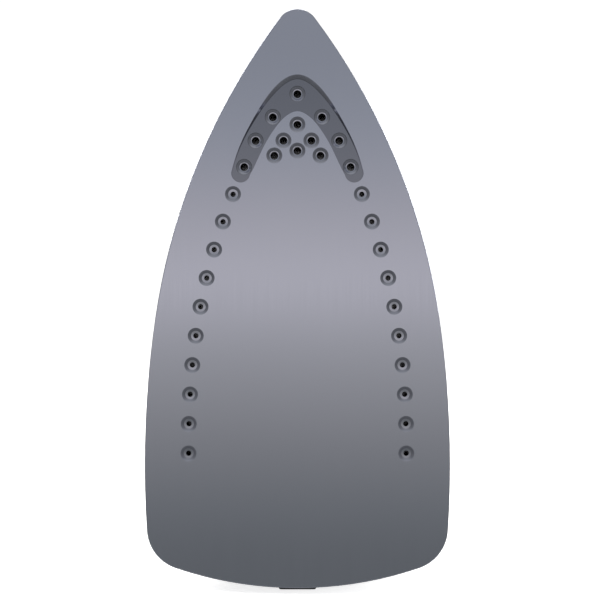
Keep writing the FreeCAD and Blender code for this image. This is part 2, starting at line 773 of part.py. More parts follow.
def cord_slot():
    """Fan-shaped opening that lets the cord gland swing."""
    reach = 45.0
    clear = 7.0
    low_lean = CORD_LEAN - SWIVEL_SWING
    high_lean = CORD_LEAN + SWIVEL_SWING
    front = V(side_direction(low_lean + 90)).multiply(-clear)
    rear = V(side_direction(high_lean + 90)).multiply(clear)
    corners = [
        BARREL_CENTRE.add(front),
        BARREL_CENTRE.add(V(side_direction(low_lean)).multiply(reach)).add(front),
        BARREL_CENTRE.add(V(side_direction(high_lean)).multiply(reach)).add(rear),
        BARREL_CENTRE.add(rear),
    ]
    fan = side_prism(rounded_polygon([(c.y, c.z, 0) for c in corners]), 7.2)
    start = BARREL_CENTRE.add(V(-9.6, 0, 0))
    return fan.fuse(rod(start, start.add(V(19.2, 0, 0)), BARREL_RADIUS + 0.4))


CLEAN_AT = (85.0, 162.0)  # self-clean button: height, along
CLEAN_RADIUS = 5.0


def handle_parts():
    """Lower handle shell, its cover and the soft grip, from one outer shape."""
    outer = handle_solid(0.0).common(slab(low=HANDLE_LOW))
    core = handle_solid(WALL).common(slab(low=HANDLE_FLOOR))
    hollow = outer.cut(core)
    upper = hollow.common(above_split(SPLIT_GAP / 2))
    lower = hollow.cut(above_split(-SPLIT_GAP / 2))

    zone = above_split(2.0).common(slab(rear=GRIP_REAR, front=GRIP_FRONT))
    grip = outer.common(zone).cut(handle_solid(GRIP_DEPTH))
    upper = upper.cut([grip, cord_slot(), *cover_openings()])

    cheeks = [
        box(min(s * a for a in CHEEK), max(s * a for a in CHEEK), 99, 118, 16, 32) for s in (1, -1)
    ]
    cheeks = [c.cut(above_split(-SPLIT_GAP / 2)) for c in cheeks]
    bracket = box(8.0, 15.2, 77.4, 92.6, 154, 170).cut(box(9.5, 15.3, 78.6, 91.4, 155.5, 168.5))
    heel_boss = rod(V(0, 80, 7), V(0, 80, 14), 3.4)
    lower = lower.fuse([c.common(outer) for c in cheeks] + [bracket.common(outer), heel_boss])
    axis_start = BARREL_CENTRE.add(V(-13.2, 0, 0))
    axis_end = BARREL_CENTRE.add(V(13.2, 0, 0))
    low, high = HANDLE_LOW - 1, HANDLE_FLOOR + 1
    height, along = CLEAN_AT
    lower = lower.cut([
        cord_slot(),
        *heel_screw_holes(HEEL_SCREW_CORE),
        rod(axis_start, axis_end, TRUNNION_RADIUS + RUNNING_GAP),
        post(0, NEEDLE_AT, low, high, NEEDLE_RADIUS + 0.4),
        post(0, BURST_AT, low, high, PIPE_RADIUS),
        post(0, SUCTION_AT, low, high, PIPE_RADIUS),
        post(0, WIRE_HOLE_AT, low, high, WIRE_HOLE - 1),
        rod(V(12, height, along), V(20, height, along), CLEAN_RADIUS + 0.35),
        rod(V(7, height, along), V(11, height, along), 1.5 + RUNNING_GAP),
        rod(NOZZLE_POINT.sub(V(FACE_OUT).multiply(9)), NOZZLE_POINT.add(FACE_OUT), 2.2),
        *[post(x, z, low, high, DECK_SCREW_CORE + 0.3) for x, z in both_sides(DECK_SCREWS)],
    ])
    return lower, upper, grip


BUTTON_RADIUS = 7.0
SLOT_HALF = 2.2
SLOT = (134.6, 149.6)


def cover_openings():
    """Holes in the cover's flat top: two buttons, the slider's slot and the lamp."""
    low, high = TOP_FLAT - WALL - 2, TOP_FLAT + 2
    return [
        post(0, SPRAY_AT, low, high, BUTTON_RADIUS + 0.35),
        post(0, BURST_AT, low, high, BUTTON_RADIUS + 0.35),
        box(-SLOT_HALF, SLOT_HALF, low, high, *SLOT),
        post(0, LAMP_AT, low, high, 2.5),
    ]


def deck_screws():
    places = both_sides(DECK_SCREWS)
    return group([pan_screw(x, z, HANDLE_FLOOR, 6.0, DECK_SCREW_CORE, 2.6, 1.6) for x, z in places])


# ---------------------------------------------------------------- heel
REAR_COVER_INSET = 1.2
HEEL_SCREW_CORE = 1.4
# Screws of the heel plate: across, height, and where the head rests along the sole.
HEEL_SCREWS = [(32.5, 46.5, 6.2), (-32.5, 46.5, 6.2), (0, 80.0, 3.2)]


def rear_cover():
    """Heel plate over the back of the body and the handle's rear."""
    outline = [
        V(-41, BODY_LOW + 0.2, 0), V(41, BODY_LOW + 0.2, 0), V(39, 50, 0), V(26, 63, 0),
        V(14, 69, 0), V(13, 101, 0), V(-13, 101, 0), V(-14, 69, 0), V(-26, 63, 0), V(-39, 50, 0),
    ]
    face = Part.Face(Part.makePolygon([*outline, outline[0]]))
    blank = face.extrude(V(0, 0, 15))
    blank = bevel(blank, 4.0, lambda e: abs(e.Length - 15) < 0.1 and e.CenterOfMass.y > 40)
    blank = blank.common(prism(sole_outline(REAR_COVER_INSET), 0, 150))
    blank = blank.cut(slab(rear=8.4))
    blank = blank.cut([body_loft(0.0), handle_solid(0.0)])
    deck = prism(scaled_outline(0.0, 25.0, BODY_REAR, 176.0), BODY_TOP, DECK_TOP)
    blank = blank.cut([deck, *heel_screw_holes(HEEL_SCREW_CORE + 0.3)])
    blank = blank.cut([rod(V(x, y, -5), V(x, y, seat), 3.1) for x, y, seat in HEEL_SCREWS])
    return max(blank.Solids, key=lambda piece: piece.Volume)


def heel_foot_centre():
    """Rubber pad at the back of the skirt: it carries most of the standing iron's weight."""
    pad = box(-7.5, 7.5, 11.5, 24.0, -FOOT_HEIGHT, 8.0)
    pad = bevel(pad, 1.2, lambda e: e.Length > 10.9 and abs(e.CenterOfMass.z - 2.5) < 1e-6)
    pad = bevel(pad, 0.5, lambda e: e.BoundBox.ZMax < -FOOT_HEIGHT + 1e-6)
    return pad.cut(tapered(SKIRT_INSET_LOW, SKIRT_INSET_TOP, SKIRT_LOW, SKIRT_TOP))


def heel_feet_side():
    """Two rubber pads on the heel plate, either side."""
    pads = []
    for side in (1, -1):
        x0, x1 = sorted((side * 21, side * 34))
        pad = box(x0, x1, 32.0, 41.0, -FOOT_HEIGHT, 8.0)
        pad = bevel(pad, 2.0, lambda e: e.Length > 10.9)
        pad = bevel(pad, 0.8, lambda e: e.BoundBox.ZMax < -FOOT_HEIGHT + 1e-6)
        pads.append(pad.cut(prism(sole_outline(REAR_COVER_INSET), 0, 150)))
    return group(pads)


def heel_foot_upper():
    """Rubber bar near the top of the heel plate."""
    bar = box(-11, 11, 91.0, 100.0, -FOOT_HEIGHT, 3.0)
    bar = bevel(bar, 2.0, lambda e: abs(e.Length - 6.0) < 1e-6)
    bar = bevel(bar, 0.8, lambda e: e.BoundBox.ZMax < -FOOT_HEIGHT + 1e-6)
    return bar.cut(prism(sole_outline(REAR_COVER_INSET), 0, 150))


def heel_screw(x, height, seat):
    """Screw driven forward from behind, its head resting at seat."""
    screw = pan_screw(0, 0, 0, 8.0, HEEL_SCREW_CORE, 2.7, 1.5)
    screw.rotate(V(0, 0, 0), V(1, 0, 0), -90)
    screw.translate(V(x, height, seat))
    return screw


def rear_cover_screws():
    return group([heel_screw(*place) for place in HEEL_SCREWS])


def heel_screw_holes(radius):
    return [rod(V(x, y, -5), V(x, y, seat + 9.0), radius) for x, y, seat in HEEL_SCREWS]


# ---------------------------------------------------------------- filler
DOOR_PIN = (4.7, 9.6)     # hinge pin in the filler's own frame: up the neck, forward
DOOR_LOW = 3.4
DOOR_HIGH = 5.4


def filler_neck():
    """Rectangular mouth welded into the tank's nose, with two hinge ears."""
    neck = filler_solid(10.0, 7.5, -5.0, 3.0)
    up, forward = DOOR_PIN
    ears = []
    for side in (1, -1):
        x0, x1 = sorted((side * 6.6, side * 9.4))
        ear = box(x0, x1, -3.0, up, 7.0, forward + 2.0)
        barrel = rod(V(x0, up, forward), V(x1, up, forward), 2.0)
        ears.append(on_nose(ear.fuse(barrel)))
    neck = neck.fuse(ears)
    pin = on_nose(rod(V(-12, up, forward), V(12, up, forward), 1.0))
    return neck.cut([filler_solid(8.2, 5.7, -6.0, 6.0), pin])


def filler_hinge_pin():
    up, forward = DOOR_PIN
    return on_nose(rod(V(-9.2, up, forward), V(9.2, up, forward), 1.0))


def filler_door():
    """Lid over the filler, with a knuckle round the pin and a thumb lip at its rear."""
    up, forward = DOOR_PIN
    lid = box(-11.0, 11.0, DOOR_LOW, DOOR_HIGH, -9.0, forward)
    lid = lid.cut([box(6.2, 11.5, 2, 8, 6.9, 13), box(-11.5, -6.2, 2, 8, 6.9, 13)])
    lid = bevel(lid, 3.0, lambda e: abs(e.Length - 2.0) < 1e-6 and e.CenterOfMass.z < -8)
    lid = bevel(lid, 0.6, lambda e: e.BoundBox.YMin > DOOR_HIGH - 1e-6 and e.BoundBox.ZMin < 6)
    knuckle = rod(V(-6.2, up, forward), V(6.2, up, forward), 2.1)
    plug = box(-7.8, 7.8, 1.0, DOOR_LOW, -5.3, 5.3)
    plug = bevel(plug, 2.4, lambda e: abs(e.Length - (DOOR_LOW - 1.0)) < 1e-6)
    lip = box(-5, 5, DOOR_LOW + 0.2, DOOR_HIGH - 0.2, -11.2, -8.5)
    door = lid.fuse([knuckle, plug, lip])
    return on_nose(door.cut(rod(V(-12, up, forward), V(12, up, forward), 1.0 + RUNNING_GAP)))


# ---------------------------------------------------------------- steam valve
NEEDLE_LOW = 27.0
NEEDLE_TOP = 117.0
COLLAR = (83.0, 84.6)
CROSS_PIN_AT = 114.0
CROSS_PIN_RADIUS = 0.9
MANIFOLD = (93.0, 98.0)
RAMP_RATIO = NEEDLE_TRAVEL / SLIDER_TRAVEL


def valve_seat():
    """Bush through the tank's floor: a wide bore over the metering orifice."""
    low = CAST_TOP + GASKET + COVER
    seat = post(0, NEEDLE_AT, low, 34.0, VALVE_SEAT_RADIUS)
    seat = round_edges_at(seat, 0.8, 34.0)
    return seat.cut([
        post(0, NEEDLE_AT, NEEDLE_LOW, 35, NEEDLE_RADIUS + 0.35),
        post(0, NEEDLE_AT, low - 1, 35, 0.8),
    ])


def steam_needle():
    """Valve rod with the collar its spring presses on, and the cross pin near its top."""
    tip = Part.makeCone(0.7, NEEDLE_RADIUS, 1.2, V(0, NEEDLE_LOW, NEEDLE_AT), V(0, 1, 0))
    stem = post(0, NEEDLE_AT, NEEDLE_LOW + 1.2, NEEDLE_TOP, NEEDLE_RADIUS)
    collar = post(0, NEEDLE_AT, *COLLAR, 2.6)
    pin = rod(V(-8.8, CROSS_PIN_AT, NEEDLE_AT), V(8.8, CROSS_PIN_AT, NEEDLE_AT), CROSS_PIN_RADIUS)
    return tip.fuse([stem, collar, pin])


def coil(x, z, low, high, radius, wire, turns):
    """Helical spring along the height axis, as one swept wire."""
    height = high - low - 2 * wire
    helix = Part.makeHelix(height / turns, height, radius)
    start = V(radius, 0, 0)
    section = Part.Wire(Part.makeCircle(wire, start, V(0, 1, height / turns / math.tau / radius)))
    spring = Part.Wire(helix).makePipeShell([section], True, True)
    spring.rotate(V(0, 0, 0), V(1, 0, 0), -90)
    spring.translate(V(x, low + wire, z))
    return spring


def steam_slider():
    """Thumb slider on the handle's top, and the ramps that lift the needle by its cross pin."""
    rear, front = SLIDER_AT - 6, SLIDER_AT + 6
    pad = box(-8, 8, TOP_FLAT + 0.3, TOP_FLAT + 3.0, rear, front)
    pad = bevel(pad, 2.5, lambda e: abs(e.Length - 2.7) < 1e-6)
    pad = round_edges_at(pad, 0.8, TOP_FLAT + 3.0)
    ridges = [
        box(-5.5, 5.5, TOP_FLAT + 2.9, TOP_FLAT + 3.6, z - 0.5, z + 0.5)
        for z in (SLIDER_AT - 3, SLIDER_AT, SLIDER_AT + 3)
    ]
    leg = box(-1.9, 1.9, 121.6, TOP_FLAT + 0.4, SLIDER_AT - 2, SLIDER_AT + 2)
    keeper = box(-5, 5, 131.0, 132.8, SLIDER_AT - 5, SLIDER_AT + 5)
    yoke = box(-8.4, 8.4, 121.6, 123.6, 132, SLIDER_AT + 2)
    ramps = []
    under = CROSS_PIN_AT - CROSS_PIN_RADIUS / math.cos(math.atan(RAMP_RATIO)) - 0.12
    for side in (1, -1):
        top_rear = under + RAMP_RATIO * (NEEDLE_AT - 132)
        top_front = under + RAMP_RATIO * (NEEDLE_AT - 151)
        profile = [(top_rear, 132), (top_front, 151), (top_front - 2.2, 151), (top_rear - 3.2, 132)]
        wedge = side_prism(rounded_polygon([(y, z, 0) for y, z in profile]), 0.6)
        hanger = box(-0.6, 0.6, top_rear - 1, 122, 132, 136)
        ramp = wedge.fuse(hanger)
        ramp.translate(V(side * 7.6, 0, 0))
        ramps.append(ramp)
    return join([pad, *ridges, leg, keeper, yoke, *ramps])


def bore_ends(x, z, bore):
    return post(x, z, MANIFOLD[0] - 1, MANIFOLD[1] + 1, bore)


def pump_manifold():
    """Plate across the nose that carries both pumps and guides the needle."""
    plate = handle_solid(WALL).common(box(-20, 20, *MANIFOLD, NEEDLE_AT - 6, 210))
    return plate.cut([
        bore_ends(0, NEEDLE_AT, NEEDLE_RADIUS + RUNNING_GAP),
        post(0, BURST_AT, MANIFOLD[0] - 1, MANIFOLD[1] - 1.5, PIPE_RADIUS),
        post(0, SUCTION_AT, MANIFOLD[0] - 1, MANIFOLD[1] - 1.5, PIPE_RADIUS),
        post(0, BURST_AT, MANIFOLD[0] - 1, MANIFOLD[1] + 1, 1.0),
        post(0, SPRAY_AT, MANIFOLD[0] + 1, MANIFOLD[1] + 1, 1.0),
        rod(V(0, 95.4, SUCTION_AT), V(0, 95.4, SPRAY_AT), 0.9),
        rod(V(0, 95.4, SPRAY_AT), NOZZLE_POINT, 0.9),
        rod(NOZZLE_POINT.sub(V(FACE_OUT).multiply(NOZZLE_DEPTH)), NOZZLE_POINT, 2.2),
    ])


PUMP_TOP = 118.0
PUMP_RADIUS = 6.2
PUMP_BORE = 4.3


def pump_body(z):
    """Pump cylinder with a floor port and a guided top."""
    body = post(0, z, MANIFOLD[1], PUMP_TOP, PUMP_RADIUS)
    body = round_edges_at(body, 0.8, PUMP_TOP)
    return body.cut([
        post(0, z, MANIFOLD[1] + 2, PUMP_TOP - 1.6, PUMP_BORE),
        post(0, z, MANIFOLD[1] - 1, MANIFOLD[1] + 3, 1.0),
        post(0, z, PUMP_TOP - 2, PUMP_TOP + 1, 1.8 + RUNNING_GAP),
    ])


BUTTON_FLANGE = (131.0, 132.8)


def push_button(z, rings):
    """Round button with its flange, rod and pump piston; rings mark its top."""
    cap = post(0, z, BUTTON_FLANGE[0], OVERALL_DEPTH, BUTTON_RADIUS)
    cap = round_edges_at(cap, 1.6, OVERALL_DEPTH)
    flange = post(0, z, *BUTTON_FLANGE, 8.2)
    stem = post(0, z, 112, 132, 1.8)
    piston = post(0, z, 112, 115.8, PUMP_BORE - RUNNING_GAP)
    groove = tube(0, z, OVERALL_DEPTH - 0.4, OVERALL_DEPTH + 1, rings + 0.4, rings - 0.4)
    return cap.fuse([flange, stem, piston]).cut(groove)


def burst_pipe():
    """Pipe from the burst pump down to the steam chamber."""
    return tube(0, BURST_AT, CAST_TOP + GASKET + COVER - 1.2, MANIFOLD[1] - 1.5, PIPE_RADIUS, 1.0)


def suction_pipe():
    return tube(0, SUCTION_AT, 36.0, MANIFOLD[1] - 1.5, PIPE_RADIUS, 1.0)


def intake_filter():
    """Slotted strainer cup on the foot of the suction pipe."""
    cup = tube(0, SUCTION_AT, 32.6, 44.0, 4.0, 3.0)
    lid = tube(0, SUCTION_AT, 42.8, 44.0, 4.0, PIPE_RADIUS)
    slots = [box(-5, 5, y, y + 0.8, SUCTION_AT - 0.9, SUCTION_AT + 0.9) for y in (34, 36, 38, 40)]
    slots += [box(-0.9, 0.9, y, y + 0.8, SUCTION_AT - 5, SUCTION_AT + 5) for y in (35, 37, 39, 41)]
    return cup.fuse(lid).cut(slots)


def spray_nozzle():
    """Brass spray jet through the nose's front face."""
    start = NOZZLE_POINT.sub(V(FACE_OUT).multiply(NOZZLE_DEPTH))
    front = NOZZLE_POINT.add(V(FACE_OUT).multiply(2.2))
    jet = rod(start, front, 2.2)
    cup = Part.makeCone(0.3, 1.5, 1.2, front.sub(V(FACE_OUT).multiply(1.2)), FACE_OUT)
    return jet.cut([cup, rod(start.sub(FACE_OUT), front.add(FACE_OUT), 0.4)])


def nozzle_bezel():
    """Bright ring round the spray jet."""
    back = V(NOZZLE_POINT)
    ring = rod(back, NOZZLE_POINT.add(V(FACE_OUT).multiply(1.4)), 4.6)
    ring = bevel(ring, 0.6, lambda e: e.CenterOfMass.sub(back).dot(FACE_OUT) > 1.39
                 and e.BoundBox.XLength > 9)
    bore = rod(NOZZLE_POINT.sub(V(FACE_OUT).multiply(2)), NOZZLE_POINT.add(FACE_OUT * 3), 2.2)
    return ring.cut([bore, handle_solid(0.0)])


# ---------------------------------------------------------------- self-clean button
CLEAN_SEAT = 9.5          # the spring's fixed end
CLEAN_FLANGE = (12.8, 14.3)


def across(x):
    """Point on the self-clean button's axis."""
    return V(x, *CLEAN_AT)


def self_clean_button():
    """Side button with a flange inside the handle's wall and a guided stem."""
    cap = rod(across(13.0), across(HANDLE_HALF + CLEAN_TRAVEL), CLEAN_RADIUS)
    cap = bevel(cap, 1.0, lambda e: e.BoundBox.XMin > HANDLE_HALF + CLEAN_TRAVEL - 0.1)
    flange = rod(across(CLEAN_FLANGE[0]), across(CLEAN_FLANGE[1]), 6.0)
    stem = rod(across(6.4), across(13.0), 1.5)
    groove = rod(across(18.4), across(20), 2.6).cut(rod(across(18), across(21), 1.9))
    return cap.fuse([flange, stem]).cut(groove)


def clean_spring():
    spring = coil(0, 0, 0, CLEAN_FLANGE[0] - CLEAN_SEAT, 2.4, 0.3, 2.5)
    spring.rotate(V(0, 0, 0), V(0, 0, 1), -90)
    spring.translate(across(CLEAN_SEAT))
    return spring


# ---------------------------------------------------------------- temperature dial
DIAL_RADIUS = 26.0
DIAL_LOW = 71.5
DIAL_TOP = 80.5
DIAL_FLUTES = 40


def temperature_dial():
    """Fluted dial, hollow below, with a raised centre and a blind hub for the spindle."""
    disc = post(0, DIAL_AT, DIAL_LOW, DIAL_TOP, DIAL_RADIUS)
    disc = round_edges_at(disc, 1.6, DIAL_TOP)
    flutes = []
    for step in range(DIAL_FLUTES):
        turn = math.tau * (step + 0.5) / DIAL_FLUTES
        x = (DIAL_RADIUS + 0.5) * math.cos(turn)
        z = DIAL_AT + (DIAL_RADIUS + 0.5) * math.sin(turn)
        flutes.append(post(x, z, DIAL_LOW + 1.2, DIAL_TOP + 1, 1.3))
    hollow = tube(0, DIAL_AT, DIAL_LOW - 1, DIAL_LOW + 5.5, DIAL_RADIUS - 2.6, 5.0)
    dish = post(0, DIAL_AT, DIAL_TOP - 0.8, DIAL_TOP + 1, DIAL_RADIUS - 7.0)
    disc = disc.cut([*flutes, hollow, dish])
    grip = box(-2.4, 2.4, DIAL_TOP - 1.0, DIAL_TOP + 1.6, DIAL_AT - 16, DIAL_AT + 16)
    grip = bevel(grip, 1.0, lambda e: e.BoundBox.YMin > DIAL_TOP + 1.5)
    bore = post(0, DIAL_AT, DIAL_LOW - 1, DIAL_TOP - 2.2, SPINDLE_RADIUS)
    return disc.fuse(grip).cut(bore)


def dial_spindle():
    return post(0, DIAL_AT, 21.4, DIAL_TOP - 2.2, SPINDLE_RADIUS)


def dial_bush():
    """Flangeless bush in the deck in which the spindle turns."""
    return tube(0, DIAL_AT, BODY_TOP, DECK_TOP, 4.0, SPINDLE_RADIUS + RUNNING_GAP)


# ---------------------------------------------------------------- cord swivel
GLAND_AXIS = side_direction(CORD_LEAN)


def on_gland(length):
    return BARREL_CENTRE.add(V(GLAND_AXIS).multiply(length))


def swivel_barrel():
    """Cross barrel that tips on two trunnions and carries the rotating gland."""
    start = BARREL_CENTRE.add(V(-BARREL_HALF, 0, 0))
    barrel = rod(start, start.add(V(2 * BARREL_HALF, 0, 0)), BARREL_RADIUS)
    pin_start = BARREL_CENTRE.add(V(-TRUNNION_HALF, 0, 0))
    pins = rod(pin_start, pin_start.add(V(2 * TRUNNION_HALF, 0, 0)), TRUNNION_RADIUS)
    bore = rod(on_gland(-4.4), on_gland(12), 4.5 + 0.08)
    wires = rod(on_gland(-10), on_gland(0), 4.0)
    return barrel.fuse(pins).cut([bore, wires])


def cord_gland():
    """Swivelling sleeve the cord enters by, with three ribs round it."""
    shank = rod(on_gland(-4), on_gland(9), 4.5)
    collar = rod(on_gland(9), on_gland(12), 6.2)
    sleeve = rod(on_gland(12), on_gland(30), 5.2)
    ribs = [rod(on_gland(s), on_gland(s + 1.6), 5.6) for s in (15, 19, 23)]
    gland = shank.fuse([collar, sleeve, *ribs])
    return gland.cut(rod(on_gland(-6), on_gland(32), 3.6))


# ---------------------------------------------------------------- electrical parts
def bent_wire(points, radius):
    """Wire along straight runs joined by tangent arcs, as large as the runs allow."""
    edges = []
    reached = points[0]
    for before, corner, after in zip(points, points[1:], points[2:]):
        back = before.sub(corner)
        ahead = after.sub(corner)
        leg = 0.45 * min(back.Length, ahead.Length)
        back.normalize()
        ahead.normalize()
        half = back.getAngle(ahead) / 2
        start = corner.add(V(back).multiply(leg))
        end = corner.add(V(ahead).multiply(leg))
        bend = leg * math.tan(half)
        inward = back.add(ahead).normalize()
        middle = corner.add(inward.multiply(bend / math.sin(half) - bend))
        edges.append(Part.LineSegment(reached, start).toShape())
        edges.append(Part.Arc(start, middle, end).toShape())
        reached = end
    edges.append(Part.LineSegment(reached, points[-1]).toShape())
    section = Part.Wire(Part.makeCircle(radius, points[0], points[1].sub(points[0])))
    return Part.Wire(edges).makePipeShell([section], True, False)


BLOCK = (BODY_LOW + TANK_WALL, 42.0)
WIRE_WAY = 34.9           # height of the wires through the block
WAYS = (-11, 0, 11)       # its three ways, across


def terminal_block():
    """Three-way screw terminal block on the body's floor."""
    block = box(-17, 17, *BLOCK, 30, 43)
    block = bevel(block, 1.0, lambda e: e.BoundBox.YMin > BLOCK[1] - 1e-6)
    screws = [post(x, z, 36, 43, 1.7) for x in WAYS for z in (33.5, 39.5)]
    ways = [rod(V(x, WIRE_WAY, 29), V(x, WIRE_WAY, 44), 1.5) for x in WAYS]
    return block.cut(screws + ways)


def terminal_screws():
    return group([
        pan_screw(x, z, 39.6, 3.4, 1.1, 1.65, 1.4) for x in WAYS for z in (33.5, 39.5)
    ])


LEAD_RADIUS = 1.2


def heater_leads():
    """Two leads from the element's pins to the back of the terminal block."""
    leads = []
    for side in (1, -1):
        leads.append(bent_wire([
            V(side * TERMINAL_X, 24.4, ELEMENT_REAR),
            V(side * TERMINAL_X, WIRE_WAY, ELEMENT_REAR),
            V(side * 11, WIRE_WAY, 21),
            V(side * 11, WIRE_WAY, 34),
        ], LEAD_RADIUS))
    return group(leads)


def supply_leads():
    """Three leads that rise from the block through the handle's rear to the cord gland."""
    leads = []
    for way in WAYS:
        x = way * 3.0 / 11.0
        leads.append(bent_wire([
            V(way, WIRE_WAY, 39),
            V(way, WIRE_WAY, 52),
            V(way * 0.8, 51, 50),
            V(x, 57, 21.5),
            V(x, 76, WIRE_HOLE_AT),
            V(x, 97.5, WIRE_HOLE_AT),
        ], LEAD_RADIUS))
    return group(leads)


def pilot_lamp():
    """Neon lamp under its lens, with two short legs."""
    bulb = post(0, LAMP_AT, 124.0, 131.6, 1.9)
    return bulb.fuse([post(x, LAMP_AT, 120.0, 124.0, 0.4) for x in (-1, 1)])


def lamp_lens():
    """Round lens in the handle's top."""
    lens = post(0, LAMP_AT, 132.4, TOP_FLAT + 0.8, 2.5)
    return round_edges_at(lens, 0.7, TOP_FLAT + 0.8)


# ---------------------------------------------------------------- all pieces
ELEMENT = heating_element()
LOWER_HANDLE, HANDLE_COVER, GRIP = handle_parts()
TANK = tank_shell()

add("soleplate", soleplate())
add("heater_casting", heater_casting(ELEMENT))
add("heating_element", ELEMENT)
add("element_pins", element_pins())
add("chamber_gasket", chamber_gasket())
add("steam_chamber_cover", steam_chamber_cover())
add("cover_screws", cover_screws())
add("thermostat_base", thermostat_base())
add("thermostat_bimetal", thermostat_bimetal())
add("thermostat_contacts", thermostat_contacts())
add("thermostat_screws", thermostat_screws())
add("thermal_fuse", thermal_fuse())
add("skirt", skirt())
add("sole_screws", sole_screws())
add("trim_band", trim_band())
add("tank_lower", TANK.common(slab(high=TANK_SPLIT)))
add("tank_upper", TANK.common(slab(low=TANK_SPLIT)))
add("rear_housing", rear_housing())
add("top_deck", top_deck())
add("deck_screws", deck_screws())
add("handle_shell", LOWER_HANDLE)
add("handle_cover", HANDLE_COVER)
add("soft_grip", GRIP)
add("rear_cover", rear_cover())
add("rear_cover_screws", rear_cover_screws())
add("heel_foot_centre", heel_foot_centre())
add("heel_feet_side", heel_feet_side())
add("heel_foot_upper", heel_foot_upper())
add("filler_neck", filler_neck())
add("filler_hinge_pin", filler_hinge_pin())
add("filler_door", filler_door())
add("valve_seat", valve_seat())
add("steam_needle", steam_needle())
add("valve_spring", coil(0, NEEDLE_AT, COLLAR[1], MANIFOLD[0], 2.1, 0.35, 5))
add("steam_slider", steam_slider())
add("pump_manifold", pump_manifold())
add("spray_pump_body", pump_body(SPRAY_AT))
add("burst_pump_body", pump_body(BURST_AT))
add("spray_button", push_button(SPRAY_AT, 3.0))
add("burst_button", push_button(BURST_AT, 4.4))
add("spray_spring", coil(0, SPRAY_AT, PUMP_TOP, BUTTON_FLANGE[0], 4.4, 0.5, 5.5))
add("burst_spring", coil(0, BURST_AT, PUMP_TOP, BUTTON_FLANGE[0], 4.4, 0.5, 5.5))
add("suction_pipe", suction_pipe())
add("intake_filter", intake_filter())
add("burst_pipe", burst_pipe())
add("spray_nozzle", spray_nozzle())
add("nozzle_bezel", nozzle_bezel())
add("self_clean_button", self_clean_button())
add("clean_spring", clean_spring())
add("temperature_dial", temperature_dial())
add("dial_spindle", dial_spindle())
add("dial_bush", dial_bush())
add("swivel_barrel", swivel_barrel())
add("cord_gland", cord_gland())
add("terminal_block", terminal_block())
add("terminal_screws", terminal_screws())
add("heater_leads", heater_leads())
add("supply_leads", supply_leads())
add("pilot_lamp", pilot_lamp())
add("lamp_lens", lamp_lens())

os.makedirs("parts", exist_ok=True)
for name, shape in PARTS.items():
    placed = shape.copy()
    placed.translate(V(0, -OVERALL_DEPTH / 2, FOOT_HEIGHT))
    placed.exportStep("parts/" + name + ".step")
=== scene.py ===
# %% [markdown]
# # A steam iron, finished over its fixed frame
# The iron arrives as a imported model: sixty separate parts, each already in its place, in metres. Blender
# adds what a drawing office leaves out: surface finishes, raised grip dots, printed scales, soft light.
# Loading the model comes first.

# %% Load the iron
import json
import math
import bpy
import bmesh
from mathutils import Matrix, Vector
from mathutils.bvhtree import BVHTree


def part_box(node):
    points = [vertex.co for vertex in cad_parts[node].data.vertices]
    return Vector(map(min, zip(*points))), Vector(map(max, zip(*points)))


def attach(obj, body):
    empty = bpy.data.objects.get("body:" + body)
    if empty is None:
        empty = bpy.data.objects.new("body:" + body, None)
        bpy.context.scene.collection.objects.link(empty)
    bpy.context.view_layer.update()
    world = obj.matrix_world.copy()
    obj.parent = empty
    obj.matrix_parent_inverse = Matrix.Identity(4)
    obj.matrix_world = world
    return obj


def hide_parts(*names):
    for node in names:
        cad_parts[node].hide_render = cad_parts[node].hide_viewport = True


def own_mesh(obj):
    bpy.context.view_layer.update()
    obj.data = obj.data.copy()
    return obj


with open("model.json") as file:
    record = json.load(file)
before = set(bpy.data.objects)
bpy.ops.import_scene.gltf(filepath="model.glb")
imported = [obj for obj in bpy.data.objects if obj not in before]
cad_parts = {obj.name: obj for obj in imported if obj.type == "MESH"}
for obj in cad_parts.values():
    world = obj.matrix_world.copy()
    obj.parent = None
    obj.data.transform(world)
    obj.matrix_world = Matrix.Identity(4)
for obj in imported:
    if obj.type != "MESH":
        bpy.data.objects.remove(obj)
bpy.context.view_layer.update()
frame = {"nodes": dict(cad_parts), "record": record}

# %% [markdown]
# ## Lengths
# The sole faces -Y and its tip points up +Z, because the iron stands on its
# heel. Every place below is written in millimetres and turned into metres by
# one helper. Two heights are read from the model: the ironing face, and the
# flat top of the handle where the controls are.

# %% Millimetres to metres
MM = 0.001


def at(x, y, z):
    """A point from millimetres across, out of the sole, and up."""
    return Vector((x, y, z)) * MM


def span(part):
    """The lowest and highest corner of a part, in millimetres."""
    low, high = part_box(part)
    return low / MM, high / MM


FACE = span("soleplate")[0].y
TOP = span("handle_cover")[1].y
print("ironing face at y", round(FACE, 2), "and control top at y", round(TOP, 2))

# %% [markdown]
# ## How a finish is put together
# A real surface is never one flat colour: moulded plastic has a fine spark
# texture, metal has grain, rubber is blotchy. Painted image textures could
# show that, but they would have to be drawn and wrapped. Noise in the part's
# own metres needs neither, and it looks the same from every side. So each
# finish starts from the same few steps: one noise, a colour between two close
# shades, a gloss between two values, and a small bump.

# %% Small helpers for material nodes
def finish(name, **sockets):
    """A new material. Each value given goes straight to that socket of its shader."""
    material = bpy.data.materials.new(name)
    material.use_nodes = True
    shader = material.node_tree.nodes["Principled BSDF"]
    for socket, value in sockets.items():
        shader.inputs[socket.replace("_", " ")].default_value = value
    return material


def add_node(material, kind, **values):
    """One more node in the material, with its input values."""
    node = material.node_tree.nodes.new("ShaderNode" + kind)
    for socket, value in values.items():
        node.inputs[socket.replace("_", " ")].default_value = value
    return node


def wire(material, source, target):
    material.node_tree.links.new(source, target)


def feed(material, source, socket):
    """Joins a node's output to a socket of the material's shader."""
    wire(material, source, material.node_tree.nodes["Principled BSDF"].inputs[socket])


